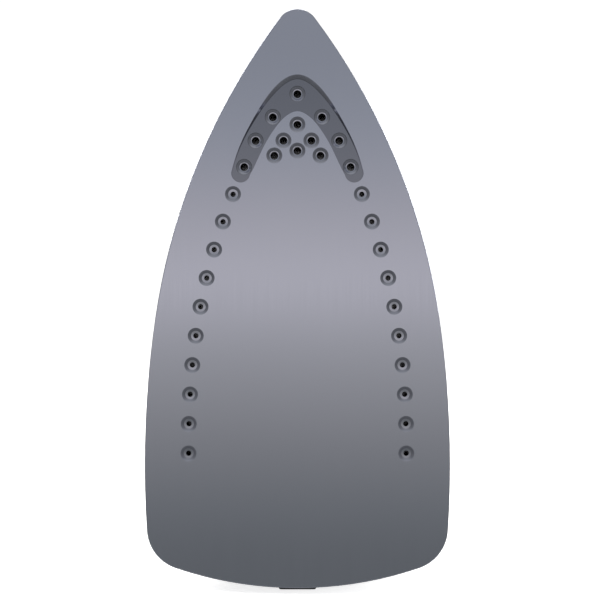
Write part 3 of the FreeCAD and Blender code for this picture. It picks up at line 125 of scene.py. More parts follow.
def own_metres(material, stretch=(1, 1, 1)):
    """The part's own coordinates in metres, drawn out along an axis where stretch is small."""
    place = add_node(material, "TexCoord")
    drawn = add_node(material, "Mapping", Scale=stretch)
    wire(material, place.outputs["Object"], drawn.inputs["Vector"])
    return drawn.outputs["Vector"]


def grain(material, per_metre, detail=2.0, stretch=(1, 1, 1)):
    """Noise with that many patches to the metre."""
    noise = add_node(material, "TexNoise", Scale=per_metre, Detail=detail)
    wire(material, own_metres(material, stretch), noise.inputs["Vector"])
    return noise.outputs[0]


def shades(material, factor, stops):
    """Colours along a ramp: stops are (position, colour)."""
    node = add_node(material, "ValToRGB")
    ramp = node.color_ramp
    while len(ramp.elements) < len(stops):
        ramp.elements.new(0.5)
    for element, (position, colour) in zip(ramp.elements, stops):
        element.position = position
        element.color = (*colour, 1)
    wire(material, factor, node.inputs[0])
    return node.outputs[0]


def numbers(material, factor, low, high, start=0.35, end=0.65):
    """A number that goes from low to high as the factor goes from start to end."""
    node = add_node(material, "MapRange", From_Min=start, From_Max=end, To_Min=low, To_Max=high)
    wire(material, factor, node.inputs["Value"])
    return node.outputs["Result"]


def dim(material, colour, factor):
    """Multiplies a colour by a factor and feeds the result to the shader's base colour."""
    product = add_node(material, "Mix", Factor=1.0)
    product.data_type = "RGBA"
    product.blend_type = "MULTIPLY"
    wire(material, colour, product.inputs[6])
    wire(material, factor, product.inputs[7])
    feed(material, product.outputs[2], "Base Color")


def bump(material, height, depth, strength=1.0):
    """Raises the surface by the height signal, depth millimetres at most."""
    node = add_node(material, "Bump", Strength=strength, Distance=depth * MM)
    wire(material, height, node.inputs["Height"])
    feed(material, node.outputs["Normal"], "Normal")
    return node


print("helpers ready; a finish is one shader, one or two noises, a ramp and a bump")

# %% [markdown]
# ## Moulded and metal finishes from one recipe
# Most parts of an iron are injection mouldings or turned, pressed and cast
# metal. They differ in five numbers: the two shades, how the gloss varies,
# how fine the texture is and how deep. One function keeps that recipe, so a
# new finish is one line, and the special ones below add to what it returns.

# %% The general recipe
def surface(name, dark, light, gloss, per_metre, depth, stretch=(1, 1, 1), **sockets):
    """A finish whose shade drifts slowly and whose texture is fine: gloss is (least, most) roughness."""
    material = finish(name, **sockets)
    drift = grain(material, per_metre=38, detail=3.0)
    texture = grain(material, per_metre, 3.0, stretch)
    feed(material, shades(material, drift, [(0.35, dark), (0.65, light)]), "Base Color")
    feed(material, numbers(material, texture, *gloss), "Roughness")
    bump(material, texture, depth)
    return material


def dress(material, *parts):
    """Gives CAD parts a finish, in every material slot that they have."""
    for part in parts:
        piece = frame["nodes"][part]
        if not piece.material_slots:
            piece.data.materials.append(material)
        for holder in piece.material_slots:
            holder.material = material
    print(material.name, "on", ", ".join(parts))


# %% [markdown]
# ## Rubbed edges
# Hard plastic goes paler and glossier where hands and cloth rub its edges. A
# hand-painted mask would do, and so would the mesh's pointiness, but CAD
# meshes have few points on their flats. The Bevel node finds edges by
# rounding the normal: where the rounded normal leaves the true one, there is
# an edge, whatever the mesh is like.

# %% Edge wear
def rub_edges(material, reach, pale):
    """Blends a paler shade in along edges, within reach millimetres of them."""
    tree = material.node_tree
    shader = tree.nodes["Principled BSDF"]
    rounded = add_node(material, "Bevel", Radius=reach * MM)
    rounded.samples = 4
    true = add_node(material, "NewGeometry")
    match = add_node(material, "VectorMath")
    match.operation = "DOT_PRODUCT"
    wire(material, rounded.outputs["Normal"], match.inputs[0])
    wire(material, true.outputs["Normal"], match.inputs[1])
    edge = numbers(material, match.outputs["Value"], 0.55, 0.0, 0.90, 0.995)
    blend = add_node(material, "Mix")
    blend.data_type = "RGBA"
    wire(material, edge, blend.inputs[0])
    wire(material, shader.inputs["Base Color"].links[0].from_socket, blend.inputs[6])
    blend.inputs[7].default_value = (*pale, 1)
    feed(material, blend.outputs[2], "Base Color")
    return material


# %% [markdown]
# ## The soleplate
# The sole is aluminium, ground flat and polished lengthwise, with a cool anodised cast. Three depths have
# three shades: the polished face, the floor of the V-shaped steam recess, and the machined dimple round each
# vent. The darker recess floor and dimples are painted shade and painted reflection in the metal's colour,
# not a duller finish. A second material for each would need faces to be picked. The depth from the ironing
# face is enough to tell them apart, so one ramp over that depth dims the metal's colour as painted shade.
# Inside the vents it goes almost black, as painted shade for the deep bores. The sole's own outer wall is
# just as deep but stays bright, so the depth only counts within an oval round the vents.

# %% Sole finish
POLISHED = (0.61, 0.625, 0.705)
FULL_DEPTH = 3.2
VENTED_MIDDLE = 60        # the vented area is taken as an ellipse: its middle's height
VENTED_HALF = (51, 152)   # and its half width and half height
VENTED_REAR = 36          # no vent is lower than this


def vented_area(material, height):
    """1 among the vents and the recess, 0 at the sole's outer edge."""
    wide, tall = VENTED_HALF
    place = add_node(material, "TexCoord")
    oval = add_node(material, "Mapping", Scale=(1 / (wide * MM), 0, 1 / (tall * MM)),
                    Location=(0, 0, -VENTED_MIDDLE / tall))
    wire(material, place.outputs["Object"], oval.inputs["Vector"])
    reach = add_node(material, "VectorMath")
    reach.operation = "LENGTH"
    wire(material, oval.outputs["Vector"], reach.inputs[0])
    inside = numbers(material, reach.outputs["Value"], 1, 0, 0.975, 1.0)
    ahead = numbers(material, height, 0, 1, (VENTED_REAR - 6) * MM, VENTED_REAR * MM)
    both = add_node(material, "Math")
    both.operation = "MULTIPLY"
    wire(material, inside, both.inputs[0])
    wire(material, ahead, both.inputs[1])
    return both.outputs[0]


def sole_finish():
    material = finish("sole_polished_aluminium", Metallic=1.0)
    place = add_node(material, "SeparateXYZ")
    wire(material, own_metres(material), place.inputs[0])
    depth = numbers(material, place.outputs["Y"], 0, 1, FACE * MM, (FACE + FULL_DEPTH) * MM)
    vented = add_node(material, "Math")
    vented.operation = "MULTIPLY"
    wire(material, depth, vented.inputs[0])
    wire(material, vented_area(material, place.outputs["Z"]), vented.inputs[1])
    # Painted shade: the metal's colour is dimmed step by step with depth in the recess and dimples, and goes
    # almost black in the vent bores.
    steps = [(0.0, 1.0), (0.2, 0.80), (0.30, 0.80), (0.35, 0.50), (0.40, 0.50), (0.44, 0.95), (0.60, 0.95),
             (0.64, 0.76), (0.67, 0.76), (0.72, 0.06)]
    painted_depth_shade = shades(material, vented.outputs[0], [(p, (k, k, k)) for p, k in steps])
    brushing = grain(material, 2600, 4.0, (1, 1, 0.012))
    drift = grain(material, 22, 2.0, (1, 1, 0.6))
    tone = shades(material, drift, [(0.3, tuple(0.985 * c for c in POLISHED)), (0.7, POLISHED)])
    dim(material, tone, painted_depth_shade)
    feed(material, numbers(material, brushing, 0.14, 0.17), "Roughness")
    bump(material, brushing, 0.002, 0.25)
    return material


dress(sole_finish(), "soleplate")

# %% [markdown]
# ## The heater casting
# Behind the sole is a rough aluminium die casting with the heating element cast in. Its skin is grainy and
# grey. Close to the sole its colour is darkened as painted shade, for the shade deep inside the vents, which
# is what makes a vent look black from outside. The painted shade is a second ramp over the height above the
# sole.

# %% Cast metal
PAINTED_SHADE_REACH = 12          # height in millimetres over which the painted shade fades out


def casting_finish():
    material = surface("cast_aluminium", (0.36, 0.37, 0.39), (0.50, 0.51, 0.53), (0.42, 0.62), 900, 0.12,
                       Metallic=1.0)
    shader = material.node_tree.nodes["Principled BSDF"]
    place = add_node(material, "SeparateXYZ")
    wire(material, own_metres(material), place.inputs[0])
    height = numbers(material, place.outputs["Y"], 0, 1, FACE * MM, (FACE + PAINTED_SHADE_REACH) * MM)
    # Painted shade: the casting is nearly black at the sole and fades to its own grey higher up.
    vent_shade_levels = [(0.0, 0.08), (0.55, 0.10), (0.8, 1.0)]
    painted_vent_shade = shades(material, height, [(position, (k, k, k)) for position, k in vent_shade_levels])
    dim(material, shader.inputs["Base Color"].links[0].from_socket, painted_vent_shade)
    return material


dress(casting_finish(), "heater_casting")

# %% [markdown]
# ## Steel, chrome and brass
# Pressed and turned steel keeps fine parallel tool marks, so its noise is
# drawn out along one axis. The trim band is bright plated plastic: almost a
# mirror, with only a faint ripple. Brass fittings are turned, and go brown
# where they were handled.

# %% Bright metals
steel = surface("brushed_steel", (0.50, 0.51, 0.52), (0.62, 0.63, 0.64), (0.22, 0.36), 1800, 0.01,
                (1, 0.05, 1), Metallic=1.0)
chrome = surface("bright_chrome", (0.76, 0.77, 0.79), (0.82, 0.83, 0.85), (0.04, 0.09), 260, 0.004,
                 Metallic=1.0)
brass = surface("turned_brass", (0.58, 0.42, 0.17), (0.76, 0.59, 0.28), (0.20, 0.34), 2200, 0.012,
                (1, 0.08, 1), Metallic=1.0)
dress(steel, "heating_element", "element_pins", "steam_chamber_cover", "cover_screws", "thermostat_base",
      "thermostat_screws", "sole_screws", "deck_screws", "rear_cover_screws", "filler_hinge_pin",
      "steam_needle", "valve_spring", "spray_spring", "burst_spring", "clean_spring", "dial_spindle")
dress(chrome, "trim_band", "nozzle_bezel")
dress(brass, "thermostat_bimetal", "valve_seat", "burst_pipe", "spray_nozzle", "terminal_screws")

# %% [markdown]
# ## The skirt and rear cover
# The skirt stands round the hot casting, so it is a heat-proof, glass-filled
# plastic: graphite, matt, with a fine spark-eroded texture and edges that
# have rubbed pale.

# %% Graphite mouldings
skirt_plastic = surface("skirt_graphite", (0.040, 0.044, 0.052), (0.056, 0.060, 0.070), (0.42, 0.60),
                        5200, 0.035)
rub_edges(skirt_plastic, 0.7, (0.12, 0.125, 0.135))
dress(skirt_plastic, "skirt", "rear_cover")

# %% [markdown]
# ## The body and handle shells
# The housing and handle are gloss mouldings in a dark slate blue. Gloss
# plastic has a clear skin over its colour, so the shader's coat does that
# work, and the bump is only the slow ripple that any large moulding has.

# %% Gloss body
body_plastic = surface("body_slate_gloss", (0.042, 0.066, 0.102), (0.046, 0.071, 0.108), (0.20, 0.26),
                       420, 0.004, Coat_Weight=1.0, Coat_Roughness=0.05)
rub_edges(body_plastic, 0.5, (0.13, 0.16, 0.21))
dress(body_plastic, "rear_housing", "top_deck", "handle_shell")

# %% [markdown]
# ## Grey controls, blue buttons, small black parts
# The handle cover and dial are a fine matt grey, and what a thumb presses is
# a clearer blue, so that it stands out. The swivel and gland at the cord are
# black. All three are the same recipe with other numbers.

# %% Cover, dial, buttons and black parts
cover_plastic = surface("cover_silver_grey", (0.29, 0.305, 0.33), (0.31, 0.325, 0.35), (0.34, 0.46),
                        4200, 0.012)
rub_edges(cover_plastic, 0.5, (0.46, 0.47, 0.49))
button_plastic = surface("button_blue", (0.034, 0.165, 0.335), (0.040, 0.18, 0.36), (0.20, 0.28), 1400, 0.003,
                         Coat_Weight=0.6, Coat_Roughness=0.08)
rub_edges(button_plastic, 0.4, (0.16, 0.34, 0.55))
black_plastic = surface("swivel_black", (0.018, 0.018, 0.020), (0.030, 0.030, 0.033), (0.40, 0.58),
                        3800, 0.03)
rub_edges(black_plastic, 0.5, (0.07, 0.07, 0.075))
dress(cover_plastic, "handle_cover", "temperature_dial")
dress(button_plastic, "spray_button", "burst_button", "self_clean_button", "steam_slider", "filler_door")
dress(black_plastic, "swivel_barrel", "cord_gland", "dial_bush")

# %% [markdown]
# ## The water tank
# The tank is clear plastic with a smoky blue tint, welded from two halves, so
# the pipes and the needle column show through. Plain transparency would look
# like coloured film. Transmission with the index of acrylic bends what is
# behind it, and that reads as a thick wall.

# %% Tinted tank
tank_plastic = surface("tank_smoky_blue", (0.46, 0.64, 0.79), (0.50, 0.67, 0.82), (0.03, 0.06), 120, 0.006,
                       Transmission_Weight=0.93, IOR=1.49, Coat_Weight=0.4, Coat_Roughness=0.04)
dress(tank_plastic, "tank_lower", "tank_upper", "filler_neck")

# %% [markdown]
# ## Rubber, silicone, ceramic, nylon, wire and lens
# The last finishes are small parts. Rubber scatters light at grazing angles,
# which sheen gives. Nylon lets a little light in under its skin. The lamp
# lens is clear red, and the lamp behind it glows.

# %% Small-part finishes
rubber = surface("grip_rubber", (0.022, 0.022, 0.025), (0.038, 0.038, 0.042), (0.62, 0.82), 2600, 0.04,
                 Sheen_Weight=0.25, Sheen_Roughness=0.5)
silicone = surface("red_silicone", (0.36, 0.075, 0.055), (0.50, 0.13, 0.095), (0.50, 0.66), 1300, 0.03)
ceramic = surface("steatite_ceramic", (0.74, 0.71, 0.64), (0.86, 0.84, 0.79), (0.55, 0.78), 1900, 0.05)
nylon = surface("white_nylon", (0.76, 0.76, 0.74), (0.86, 0.86, 0.84), (0.34, 0.46), 1500, 0.015,
                Subsurface_Weight=0.15, Subsurface_Scale=0.001)
insulation = surface("orange_insulation", (0.60, 0.21, 0.035), (0.78, 0.32, 0.06), (0.38, 0.54), 2400, 0.03)
lens = surface("lamp_red", (0.62, 0.03, 0.02), (0.80, 0.07, 0.05), (0.05, 0.12), 500, 0.01,
               Transmission_Weight=0.6, IOR=1.5, Emission_Color=(0.9, 0.05, 0.02, 1), Emission_Strength=0.08)
dress(rubber, "soft_grip", "heel_foot_centre", "heel_feet_side", "heel_foot_upper")
dress(silicone, "chamber_gasket")
dress(ceramic, "thermostat_contacts", "thermal_fuse")
dress(nylon, "pump_manifold", "spray_pump_body", "burst_pump_body", "suction_pipe", "intake_filter",
      "terminal_block")
dress(insulation, "heater_leads", "supply_leads")
dress(lens, "pilot_lamp", "lamp_lens")

# %% [markdown]
# ## Making and placing added pieces
# Added pieces are small meshes that lie on a CAD part: dots, ribs, printed marks. Each needs a body to ride,
# so that it moves with the part it sits on, and a finish. A ray shot at a part's mesh tells exactly where its
# skin is, which is safer than working the curve out again.

# %% Building and draping helpers
def piece(name, vertices, faces, body, slot, material, smooth=False):
    """A mesh piece in the row frame that rides a body."""
    mesh = bpy.data.meshes.new(name)
    mesh.from_pydata([tuple(v) for v in vertices], [], faces)
    shape = bmesh.new()
    shape.from_mesh(mesh)
    bmesh.ops.recalc_face_normals(shape, faces=shape.faces)
    shape.to_mesh(mesh)
    shape.free()
    mesh.materials.append(material)
    if smooth:
        mesh.shade_smooth()
    else:
        mesh.shade_flat()
    thing = bpy.data.objects.new(name, mesh)
    bpy.context.scene.collection.objects.link(thing)
    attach(thing, body)
    return thing


def skin(part):
    """A tree for shooting rays at a part."""
    mesh = frame["nodes"][part].data
    return BVHTree.FromPolygons([v.co for v in mesh.vertices], [p.vertices for p in mesh.polygons])


def meet(tree, start, way):
    """Where a ray meets the skin, and the outward direction there, or None."""
    place, normal, _, _ = tree.ray_cast(start, way)
    if place is None:
        return None
    return place, normal if normal.dot(way) < 0 else -normal


print("helpers for draped pieces ready")

# %% [markdown]
# ## Dots on the soft grip
# The rubber inlay has rows of small raised dots, so that a damp hand does not
# slip. A bump pattern would look flat from the side. Real domes are cheap: a
# ring, a smaller ring and a top point each. Rays from both sides and from above
# find the rubber, and every second row is shifted by half a step.

# %% Grip dots
DOT_RADIUS = 0.8 * MM
DOT_HEIGHT = 0.35 * MM
DOT_STEP = 3.1            # millimetres from dot to dot in a row
ROW_STEP = DOT_STEP * 0.87
FACING = 0.71             # a dot goes where the skin faces its ray within about 45 degrees
AROUND = 10               # points in each of a dome's two rings
POINTS_IN_DOME = 2 * AROUND + 1


def dome(place, out, radius, height, points, faces):
    """Adds one low dome to the lists of points and faces."""
    first = len(points)
    side = out.orthogonal().normalized()
    other = out.cross(side)
    for share, rise in ((1.0, -0.25), (0.72, 0.62)):
        for k in range(AROUND):
            turn = math.tau * k / AROUND
            rim = side * math.cos(turn) + other * math.sin(turn)
            points.append(place + rim * radius * share + out * height * rise)
    points.append(place + out * height)
    for k in range(AROUND):
        n = (k + 1) % AROUND
        faces.append((first + k, first + n, first + AROUND + n, first + AROUND + k))
        faces.append((first + AROUND + k, first + AROUND + n, first + 2 * AROUND))


def grip_dots():
    tree = skin("soft_grip")
    covers = [skin("handle_cover"), skin("handle_shell")]
    down = Vector((0, -1, 0))
    low, high = span("soft_grip")
    points, faces = [], []
    rows = int((high.y - low.y) / ROW_STEP)
    for side in (-1, 1):
        for row in range(rows + 1):
            y = low.y + 1.4 + row * ROW_STEP
            for column in range(int((high.z - low.z) / DOT_STEP) + 1):
                z = low.z + 2.2 + (column + 0.5 * (row % 2)) * DOT_STEP
                hit = meet(tree, at(side * 60, y, z), Vector((-side, 0, 0)))
                if hit and side * hit[1].x > FACING and side * hit[0].x > 8 * MM:
                    dome(*hit, DOT_RADIUS, DOT_HEIGHT, points, faces)
    columns = int((high.x - low.x) / DOT_STEP)
    for row in range(int((high.z - low.z) / ROW_STEP) + 1):
        for column in range(columns + 1):
            x = (column - columns / 2 + 0.5 * (row % 2)) * DOT_STEP
            start = at(x, high.y + 20, low.z + 2.2 + row * ROW_STEP)
            hit = meet(tree, start, down)
            over = [met for met in (meet(cover, start, down) for cover in covers) if met]
            hidden = hit and any(met[0].y > hit[0].y for met in over)
            if hit and not hidden and hit[1].y > FACING:
                dome(*hit, DOT_RADIUS, DOT_HEIGHT, points, faces)
    thing = piece("grip_dots", points, faces, "iron", "rubber", rubber, smooth=True)
    print("grip dots:", len(points) // POINTS_IN_DOME)
    return thing


grip_dots()

# %% [markdown]
# ## Marks printed on curved parts
# Pad-printed marks follow the surface under them. A text or a flat shape
# would cut into the handle's round shoulders. So a mark is a thin strip: a
# list of points with a width at each. Five points across the width are dropped
# onto the skin by rays and lifted a few hundredths of a millimetre, the
# thickness of the ink, so that its middle follows the curve as well.

# %% Printed strips
INK = 0.04
ink_white = surface("ink_white", (0.70, 0.71, 0.72), (0.80, 0.81, 0.82), (0.42, 0.55), 3000, 0.004)


STRIP_SHARES = (-0.5, -0.25, 0.0, 0.25, 0.5)


def printed_strip(tree, line, way, across, points, faces):
    """Adds one strip: line is (point, width in mm), shot along way, with its width along across."""
    wide = len(STRIP_SHARES)
    first = len(points)
    kept = 0
    for place, width in line:
        hits = [meet(tree, place + across * share * width * MM - way * 0.05, way) for share in STRIP_SHARES]
        if None in hits:
            continue
        points.extend(spot + out * INK * MM for spot, out in hits)
        if kept:
            here = first + wide * kept
            for k in range(here, here + wide - 1):
                faces.append((k - wide, k - wide + 1, k + 1, k))
        kept += 1


# %% [markdown]
# ## Fill lines on the tank
# The tank's sides carry a fill line and shorter graduations, seen when the
# iron stands on its heel to be filled. They are printed strips on both sides.

# %% Tank marks
FILL_LINES = [(182, -36, -25, 0.9)] + [(z, -33, -26, 0.5) for z in (166, 150, 134, 118)]
LINE_STEPS = 8


def tank_marks():
    """Each line is a height, where it starts and ends out of the sole, and its width."""
    tree = skin("tank_lower")
    points, faces = [], []
    for side in (-1, 1):
        for z, start, end, width in FILL_LINES:
            reach = [start + (end - start) * k / LINE_STEPS for k in range(LINE_STEPS + 1)]
            line = [(at(side * 80, y, z), width) for y in reach]
            printed_strip(tree, line, Vector((-side, 0, 0)), Vector((0, 0, 1)), points, faces)
    thing = piece("tank_fill_lines", points, faces, "iron", "white", ink_white)
    print("fill line faces:", len(faces))
    return thing


tank_marks()

# %% [markdown]
# ## Marks round the controls
# A steam wedge beside the slider widens towards full steam, a fan of dots
# stands for the spray and three rising strokes for the burst of steam. They
# sit on the handle cover's shoulders, beside the control that they belong to.
# None of them is a word.

# %% Control marks
def control_marks():
    tree = skin("handle_cover")
    down = Vector((0, -1, 0))
    sideways = Vector((1, 0, 0))
    points, faces = [], []
    wedge = [(at(-11.2, TOP, 139 + k * 1.3), 0.35 + 0.22 * k) for k in range(12)]
    printed_strip(tree, wedge, down, sideways, points, faces)
    for column in range(3):
        for row in range(column + 1):
            x, z = -10.2 - 1.5 * (row - column / 2), 189.0 - 1.7 * column
            widths = [1.1 * math.sin(math.pi * (k + 0.15) / 5.3) for k in range(6)]
            disc = [(at(x, TOP, z - 0.55 + 0.22 * k), width) for k, width in enumerate(widths)]
            printed_strip(tree, disc, down, sideways, points, faces)
    for stroke in (-1, 0, 1):
        sway = [-11.4 + 1.9 * stroke + 0.45 * math.sin(k * 0.9) for k in range(12)]
        wave = [(at(x, TOP, 160.5 + 0.7 * k), 0.55) for k, x in enumerate(sway)]
        printed_strip(tree, wave, down, sideways, points, faces)
    thing = piece("control_marks", points, faces, "iron", "white", ink_white)
    print("control mark faces:", len(faces))
    return thing


control_marks()

# %% [markdown]
# ## Numbers on the dial
# The dial has five heat settings, printed on its top face as the numbers 1 to
# 5. Dots in growing groups are the other usual way, but five groups would
# crowd it. Text objects are the simplest source of clean numerals. Each is
# laid out flat, turned to its place and made into mesh, so that it exports
# like any other piece. The ink is dark here, because white fades on grey.

# %% Dial print
DIAL = frame["record"]["behaviour"]["joints"][0]["pos_m"]
DIAL_X, DIAL_Z = DIAL[0] / MM, DIAL[2] / MM
ink_dark = surface("ink_dark", (0.012, 0.013, 0.016), (0.022, 0.023, 0.026), (0.42, 0.55), 3000, 0.004)


def dial_face_height(x, z):
    """The dial's skin seen from above, in millimetres."""
    hit = meet(skin("temperature_dial"), at(x, 40, z), Vector((0, -1, 0)))
    return hit[0].y / MM


def numeral(text, angle, radius, size):
    """A numeral on the dial, upright as seen from its rim, at an angle from straight ahead."""
    drawn = bpy.data.curves.new("numeral", "FONT")
    drawn.body = text
    drawn.size = size * MM
    drawn.align_x = "CENTER"
    drawn.align_y = "CENTER"
    drawn.extrude = INK * MM / 2
    drawn.offset = 0.1 * MM
    drawn.resolution_u = 4
    holder = bpy.data.objects.new("numeral", drawn)
    bpy.context.scene.collection.objects.link(holder)
    mesh = bpy.data.meshes.new_from_object(holder)
    bpy.data.objects.remove(holder)
    x = DIAL_X + radius * math.sin(angle)
    z = DIAL_Z + radius * math.cos(angle)
    lie = Matrix(((-1, 0, 0, 0), (0, 0, 1, 0), (0, 1, 0, 0), (0, 0, 0, 1)))
    turn = Matrix.Rotation(angle, 4, "Y")
    mesh.transform(Matrix.Translation(at(x, dial_face_height(x, z) + INK, z)) @ turn @ lie)
    mesh.materials.append(ink_dark)
    thing = bpy.data.objects.new("dial_number_" + text, mesh)
    bpy.context.scene.collection.objects.link(thing)
    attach(thing, "dial")
    return thing


SETTINGS = 5
for k in range(SETTINGS):
    numeral(str(k + 1), -math.radians(270) * k / (SETTINGS - 1), 20.0, 6.0)
print("dial centre", DIAL_X, DIAL_Z, "face at", round(dial_face_height(20, DIAL_Z), 2))

# %% [markdown]
# ## Heat band and pointer
# Between the numbers and the fluted rim, a band swells from thin to thick as
# the heat grows. A small raised arrow on the deck, just ahead of the dial,
# shows which number is set. It doesn't turn, so it rides the iron.

# %% Heat band and pointer
def heat_band():
    points, faces = [], []
    steps = 60
    for k in range(steps + 1):
        angle = -math.radians(250) * k / steps - math.radians(10)
        half = 0.15 + 0.55 * k / steps
        for radius in (23.6 - half, 23.6 + half):
            x, z = DIAL_X + radius * math.sin(angle), DIAL_Z + radius * math.cos(angle)
            points.append(at(x, dial_face_height(x, z) + INK, z))
        if k:
            corner = 2 * k
            faces.append((corner - 2, corner - 1, corner + 1, corner))
    return piece("dial_heat_band", points, faces, "dial", "black", ink_dark)


def pointer():
    base = span("top_deck")[1].y
    z = DIAL_Z + 27.2
    flat = [(0, z), (2.6, z + 5.0), (-2.6, z + 5.0)]
    low = [at(x, base - 0.05, v) for x, v in flat]
    inner = [(0, z + 0.9), (1.9, z + 4.6), (-1.9, z + 4.6)]
    high = [at(x, base + 0.5, v) for x, v in inner]
    faces = [(0, 1, 2), (3, 5, 4), (0, 3, 4, 1), (1, 4, 5, 2), (2, 5, 3, 0)]
    thing = piece("dial_pointer", low + high, faces, "iron", "white", ink_white)
    print("pointer on the deck at y", round(base, 2))
    return thing


heat_band()
pointer()

# %% [markdown]
# ## Ribs for a thumb
# The steam slider's pad is moulded with three ridges of its own. The filler
# door has three low ribs added here, so that a thumb can flip it open. A rib is
# a half-round bar with rounded ends. A curve with a bevel could make it, but a
# few rings of points, narrowing at the ends, give the same shape and lie
# exactly on the skin.

# %% Thumb ribs
def rib(tree, start, end, way, width, height, points, faces):
    """Adds one half-round rib from start to end, lying where rays along way meet the skin."""
    along = (end - start).normalized()
    rings = 9
    around = 6
    first = len(points)
    kept = 0
    for k in range(rings):
        share = k / (rings - 1)
        swell = math.sqrt(max(0.0, 1 - abs(2 * share - 1) ** 6))
        hit = meet(tree, start.lerp(end, share) - way * 0.05, way)
        if not hit:
            continue
        side = hit[1].cross(along).normalized()
        for j in range(around + 1):
            turn = math.pi * j / around
            out = hit[1] * (height * math.sin(turn) * swell - 0.08) * MM
            points.append(hit[0] + side * 0.5 * width * math.cos(turn) * (0.35 + 0.65 * swell) * MM + out)
        if kept:
            for j in range(around):
                a = first + (kept - 1) * (around + 1) + j
                b = a + around + 1
                faces.append((a, a + 1, b + 1, b))
        kept += 1


def door_ribs():
    tree = skin("filler_door")
    points, faces = [], []
    low, high = span("filler_door")
    lean = math.radians(26.8)
    out = Vector((0, math.cos(lean), math.sin(lean)))
    middle = (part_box("filler_door")[0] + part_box("filler_door")[1]) / 2
    ahead = Vector((0, -math.sin(lean), math.cos(lean)))
    half = Vector((4.5 * MM, 0, 0))
    for step in (-3.0, 0.0, 3.0):
        centre = middle + ahead * (step - 3.0) * MM + out * 4 * MM
        rib(tree, centre - half, centre + half, -out, 1.2, 0.45, points, faces)
    thing = piece("door_ribs", points, faces, "door", "accent", button_plastic, smooth=True)
    print("door from y", round(low.y, 1), "to", round(high.y, 1), "ribs:", len(faces) // 48)
    return thing


door_ribs()

# %% [markdown]
# ## Steel copies of the springs
# Each plunger and the needle has a steel coil spring. The model's own springs keep their free length, so a
# pressed plunger would cut into its coil. Moving a spring with the plunger would only pull its other end out
# of its seat. A real coil closes up between a seat that stays and one that comes towards it. Here a steel
# copy of each coil stands in for it and rides the iron at its free length, and the model's own coil is
# hidden.

# %% Spring copies
SPRINGS = [
    ("spray_spring", "spray_press", (0, 1, 0), "low"),
    ("burst_spring", "burst_press", (0, 1, 0), "low"),
    ("valve_spring", "needle_lift", (0, 1, 0), "high"),
    ("clean_spring", "clean_press", (1, 0, 0), "low"),
]


def shortening_spring(part, joint, along, held):
    """A steel copy of a coil that rides the iron in place of the model's own, which is hidden."""
    mesh = frame["nodes"][part].data.copy()
    mesh.materials.clear()
    mesh.materials.append(steel)
    thing = bpy.data.objects.new(part + "_coil", mesh)
    bpy.context.scene.collection.objects.link(thing)
    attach(thing, "iron")
    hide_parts(part)
    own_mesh(thing)


for spring in SPRINGS:
    shortening_spring(*spring)

# %% [markdown]
# ## The studio
# A white sweep stands under and all round the iron: flat where it stands,
# then curving up to a wall, so that no view has a hard horizon. It glows a
# little, which keeps it white in every view, and it takes the soft shadow of
# the iron. It is left out of reflections, because metal that mirrors an even
# white sweep has no shape.

# %% Sweep
def sweep():
    flat, bend, wall = 1.6, 0.9, 2.6
    profile = [(0.0, 0.0), (flat * 0.5, 0.0), (flat, 0.0)]
    for a in range(6, 91, 6):
        slope = math.radians(a)
        profile.append((flat + bend * math.sin(slope), bend * (1 - math.cos(slope))))
    profile.append((flat + bend, bend + wall))
    around = 72
    points = [Vector((0, 0, 0))]
    for radius, height in profile[1:]:
        for k in range(around):
            turn = math.tau * k / around
            points.append(Vector((radius * math.cos(turn), radius * math.sin(turn), height)))
    faces = [(0, 1 + k, 1 + (k + 1) % around) for k in range(around)]
    for ring in range(len(profile) - 2):
        for k in range(around):
            n = (k + 1) % around
            a, b = 1 + ring * around, 1 + (ring + 1) * around
            faces.append((a + k, b + k, b + n, a + n))
    mesh = bpy.data.meshes.new("sweep")
    mesh.from_pydata([tuple(v) for v in points], [], faces)
    mesh.shade_smooth()
    thing = bpy.data.objects.new("sweep", mesh)
    bpy.context.scene.collection.objects.link(thing)
    paper = finish("white_paper", Roughness=0.9, Emission_Color=(1, 1, 1, 1), Emission_Strength=0.80)
    fleck = grain(paper, 300, 2.0)
    feed(paper, shades(paper, fleck, [(0.3, (0.80, 0.80, 0.80)), (0.7, (0.83, 0.83, 0.83))]), "Base Color")
    mesh.materials.append(paper)
    thing.visible_glossy = False
    thing.visible_diffuse = False
    thing.visible_shadow = False
    print("sweep", round(2 * (flat + bend), 1), "m across")


sweep()

# %% [markdown]
# ## What the polished sole mirrors
# A polished sole facing the camera shows whatever stands behind the camera.
# In a studio that is a card with graded light on it: brightest in one band,
# falling off above and below, and that gradient is all the shape a flat
# mirror has. It is a little cooler towards both ends. The card is a stage
# piece that only reflections see, and its light is a ramp over its own height.

# %% Graded card
SOLE_TO_CAMERA = 0.5245
CAMERA_HEIGHT = 0.11644
CAMERA_ASIDE = 0.00102
CARD_BEHIND = 0.30
LOW_LIGHT = (0.94, 1.0, 1.015)
PLAIN_LIGHT = (1.0, 1.0, 1.0)
MID_LIGHT = (1.03, 1.0, 1.03)
HIGH_LIGHT = (0.955, 1.0, 1.08)
CARD_STOPS = [
    (-220, 0.55, LOW_LIGHT), (-100, 0.32, LOW_LIGHT), (-15, 0.170, LOW_LIGHT), (15, 0.158, LOW_LIGHT),
    (36, 0.215, LOW_LIGHT), (58, 0.282, PLAIN_LIGHT), (100, 0.458, PLAIN_LIGHT), (115.5, 0.605, MID_LIGHT),
    (122.6, 0.745, MID_LIGHT), (129.5, 0.635, MID_LIGHT), (150, 0.525, MID_LIGHT), (179, 0.415, HIGH_LIGHT),
    (212, 0.347, HIGH_LIGHT), (228, 0.362, HIGH_LIGHT), (330, 0.36, HIGH_LIGHT),
]


def card_height(sole_height):
    """The height on the card that is mirrored at a height on the sole, in millimetres."""
    spread = 1 + (SOLE_TO_CAMERA + CARD_BEHIND) / SOLE_TO_CAMERA
    return CAMERA_HEIGHT + spread * (sole_height * MM - CAMERA_HEIGHT)


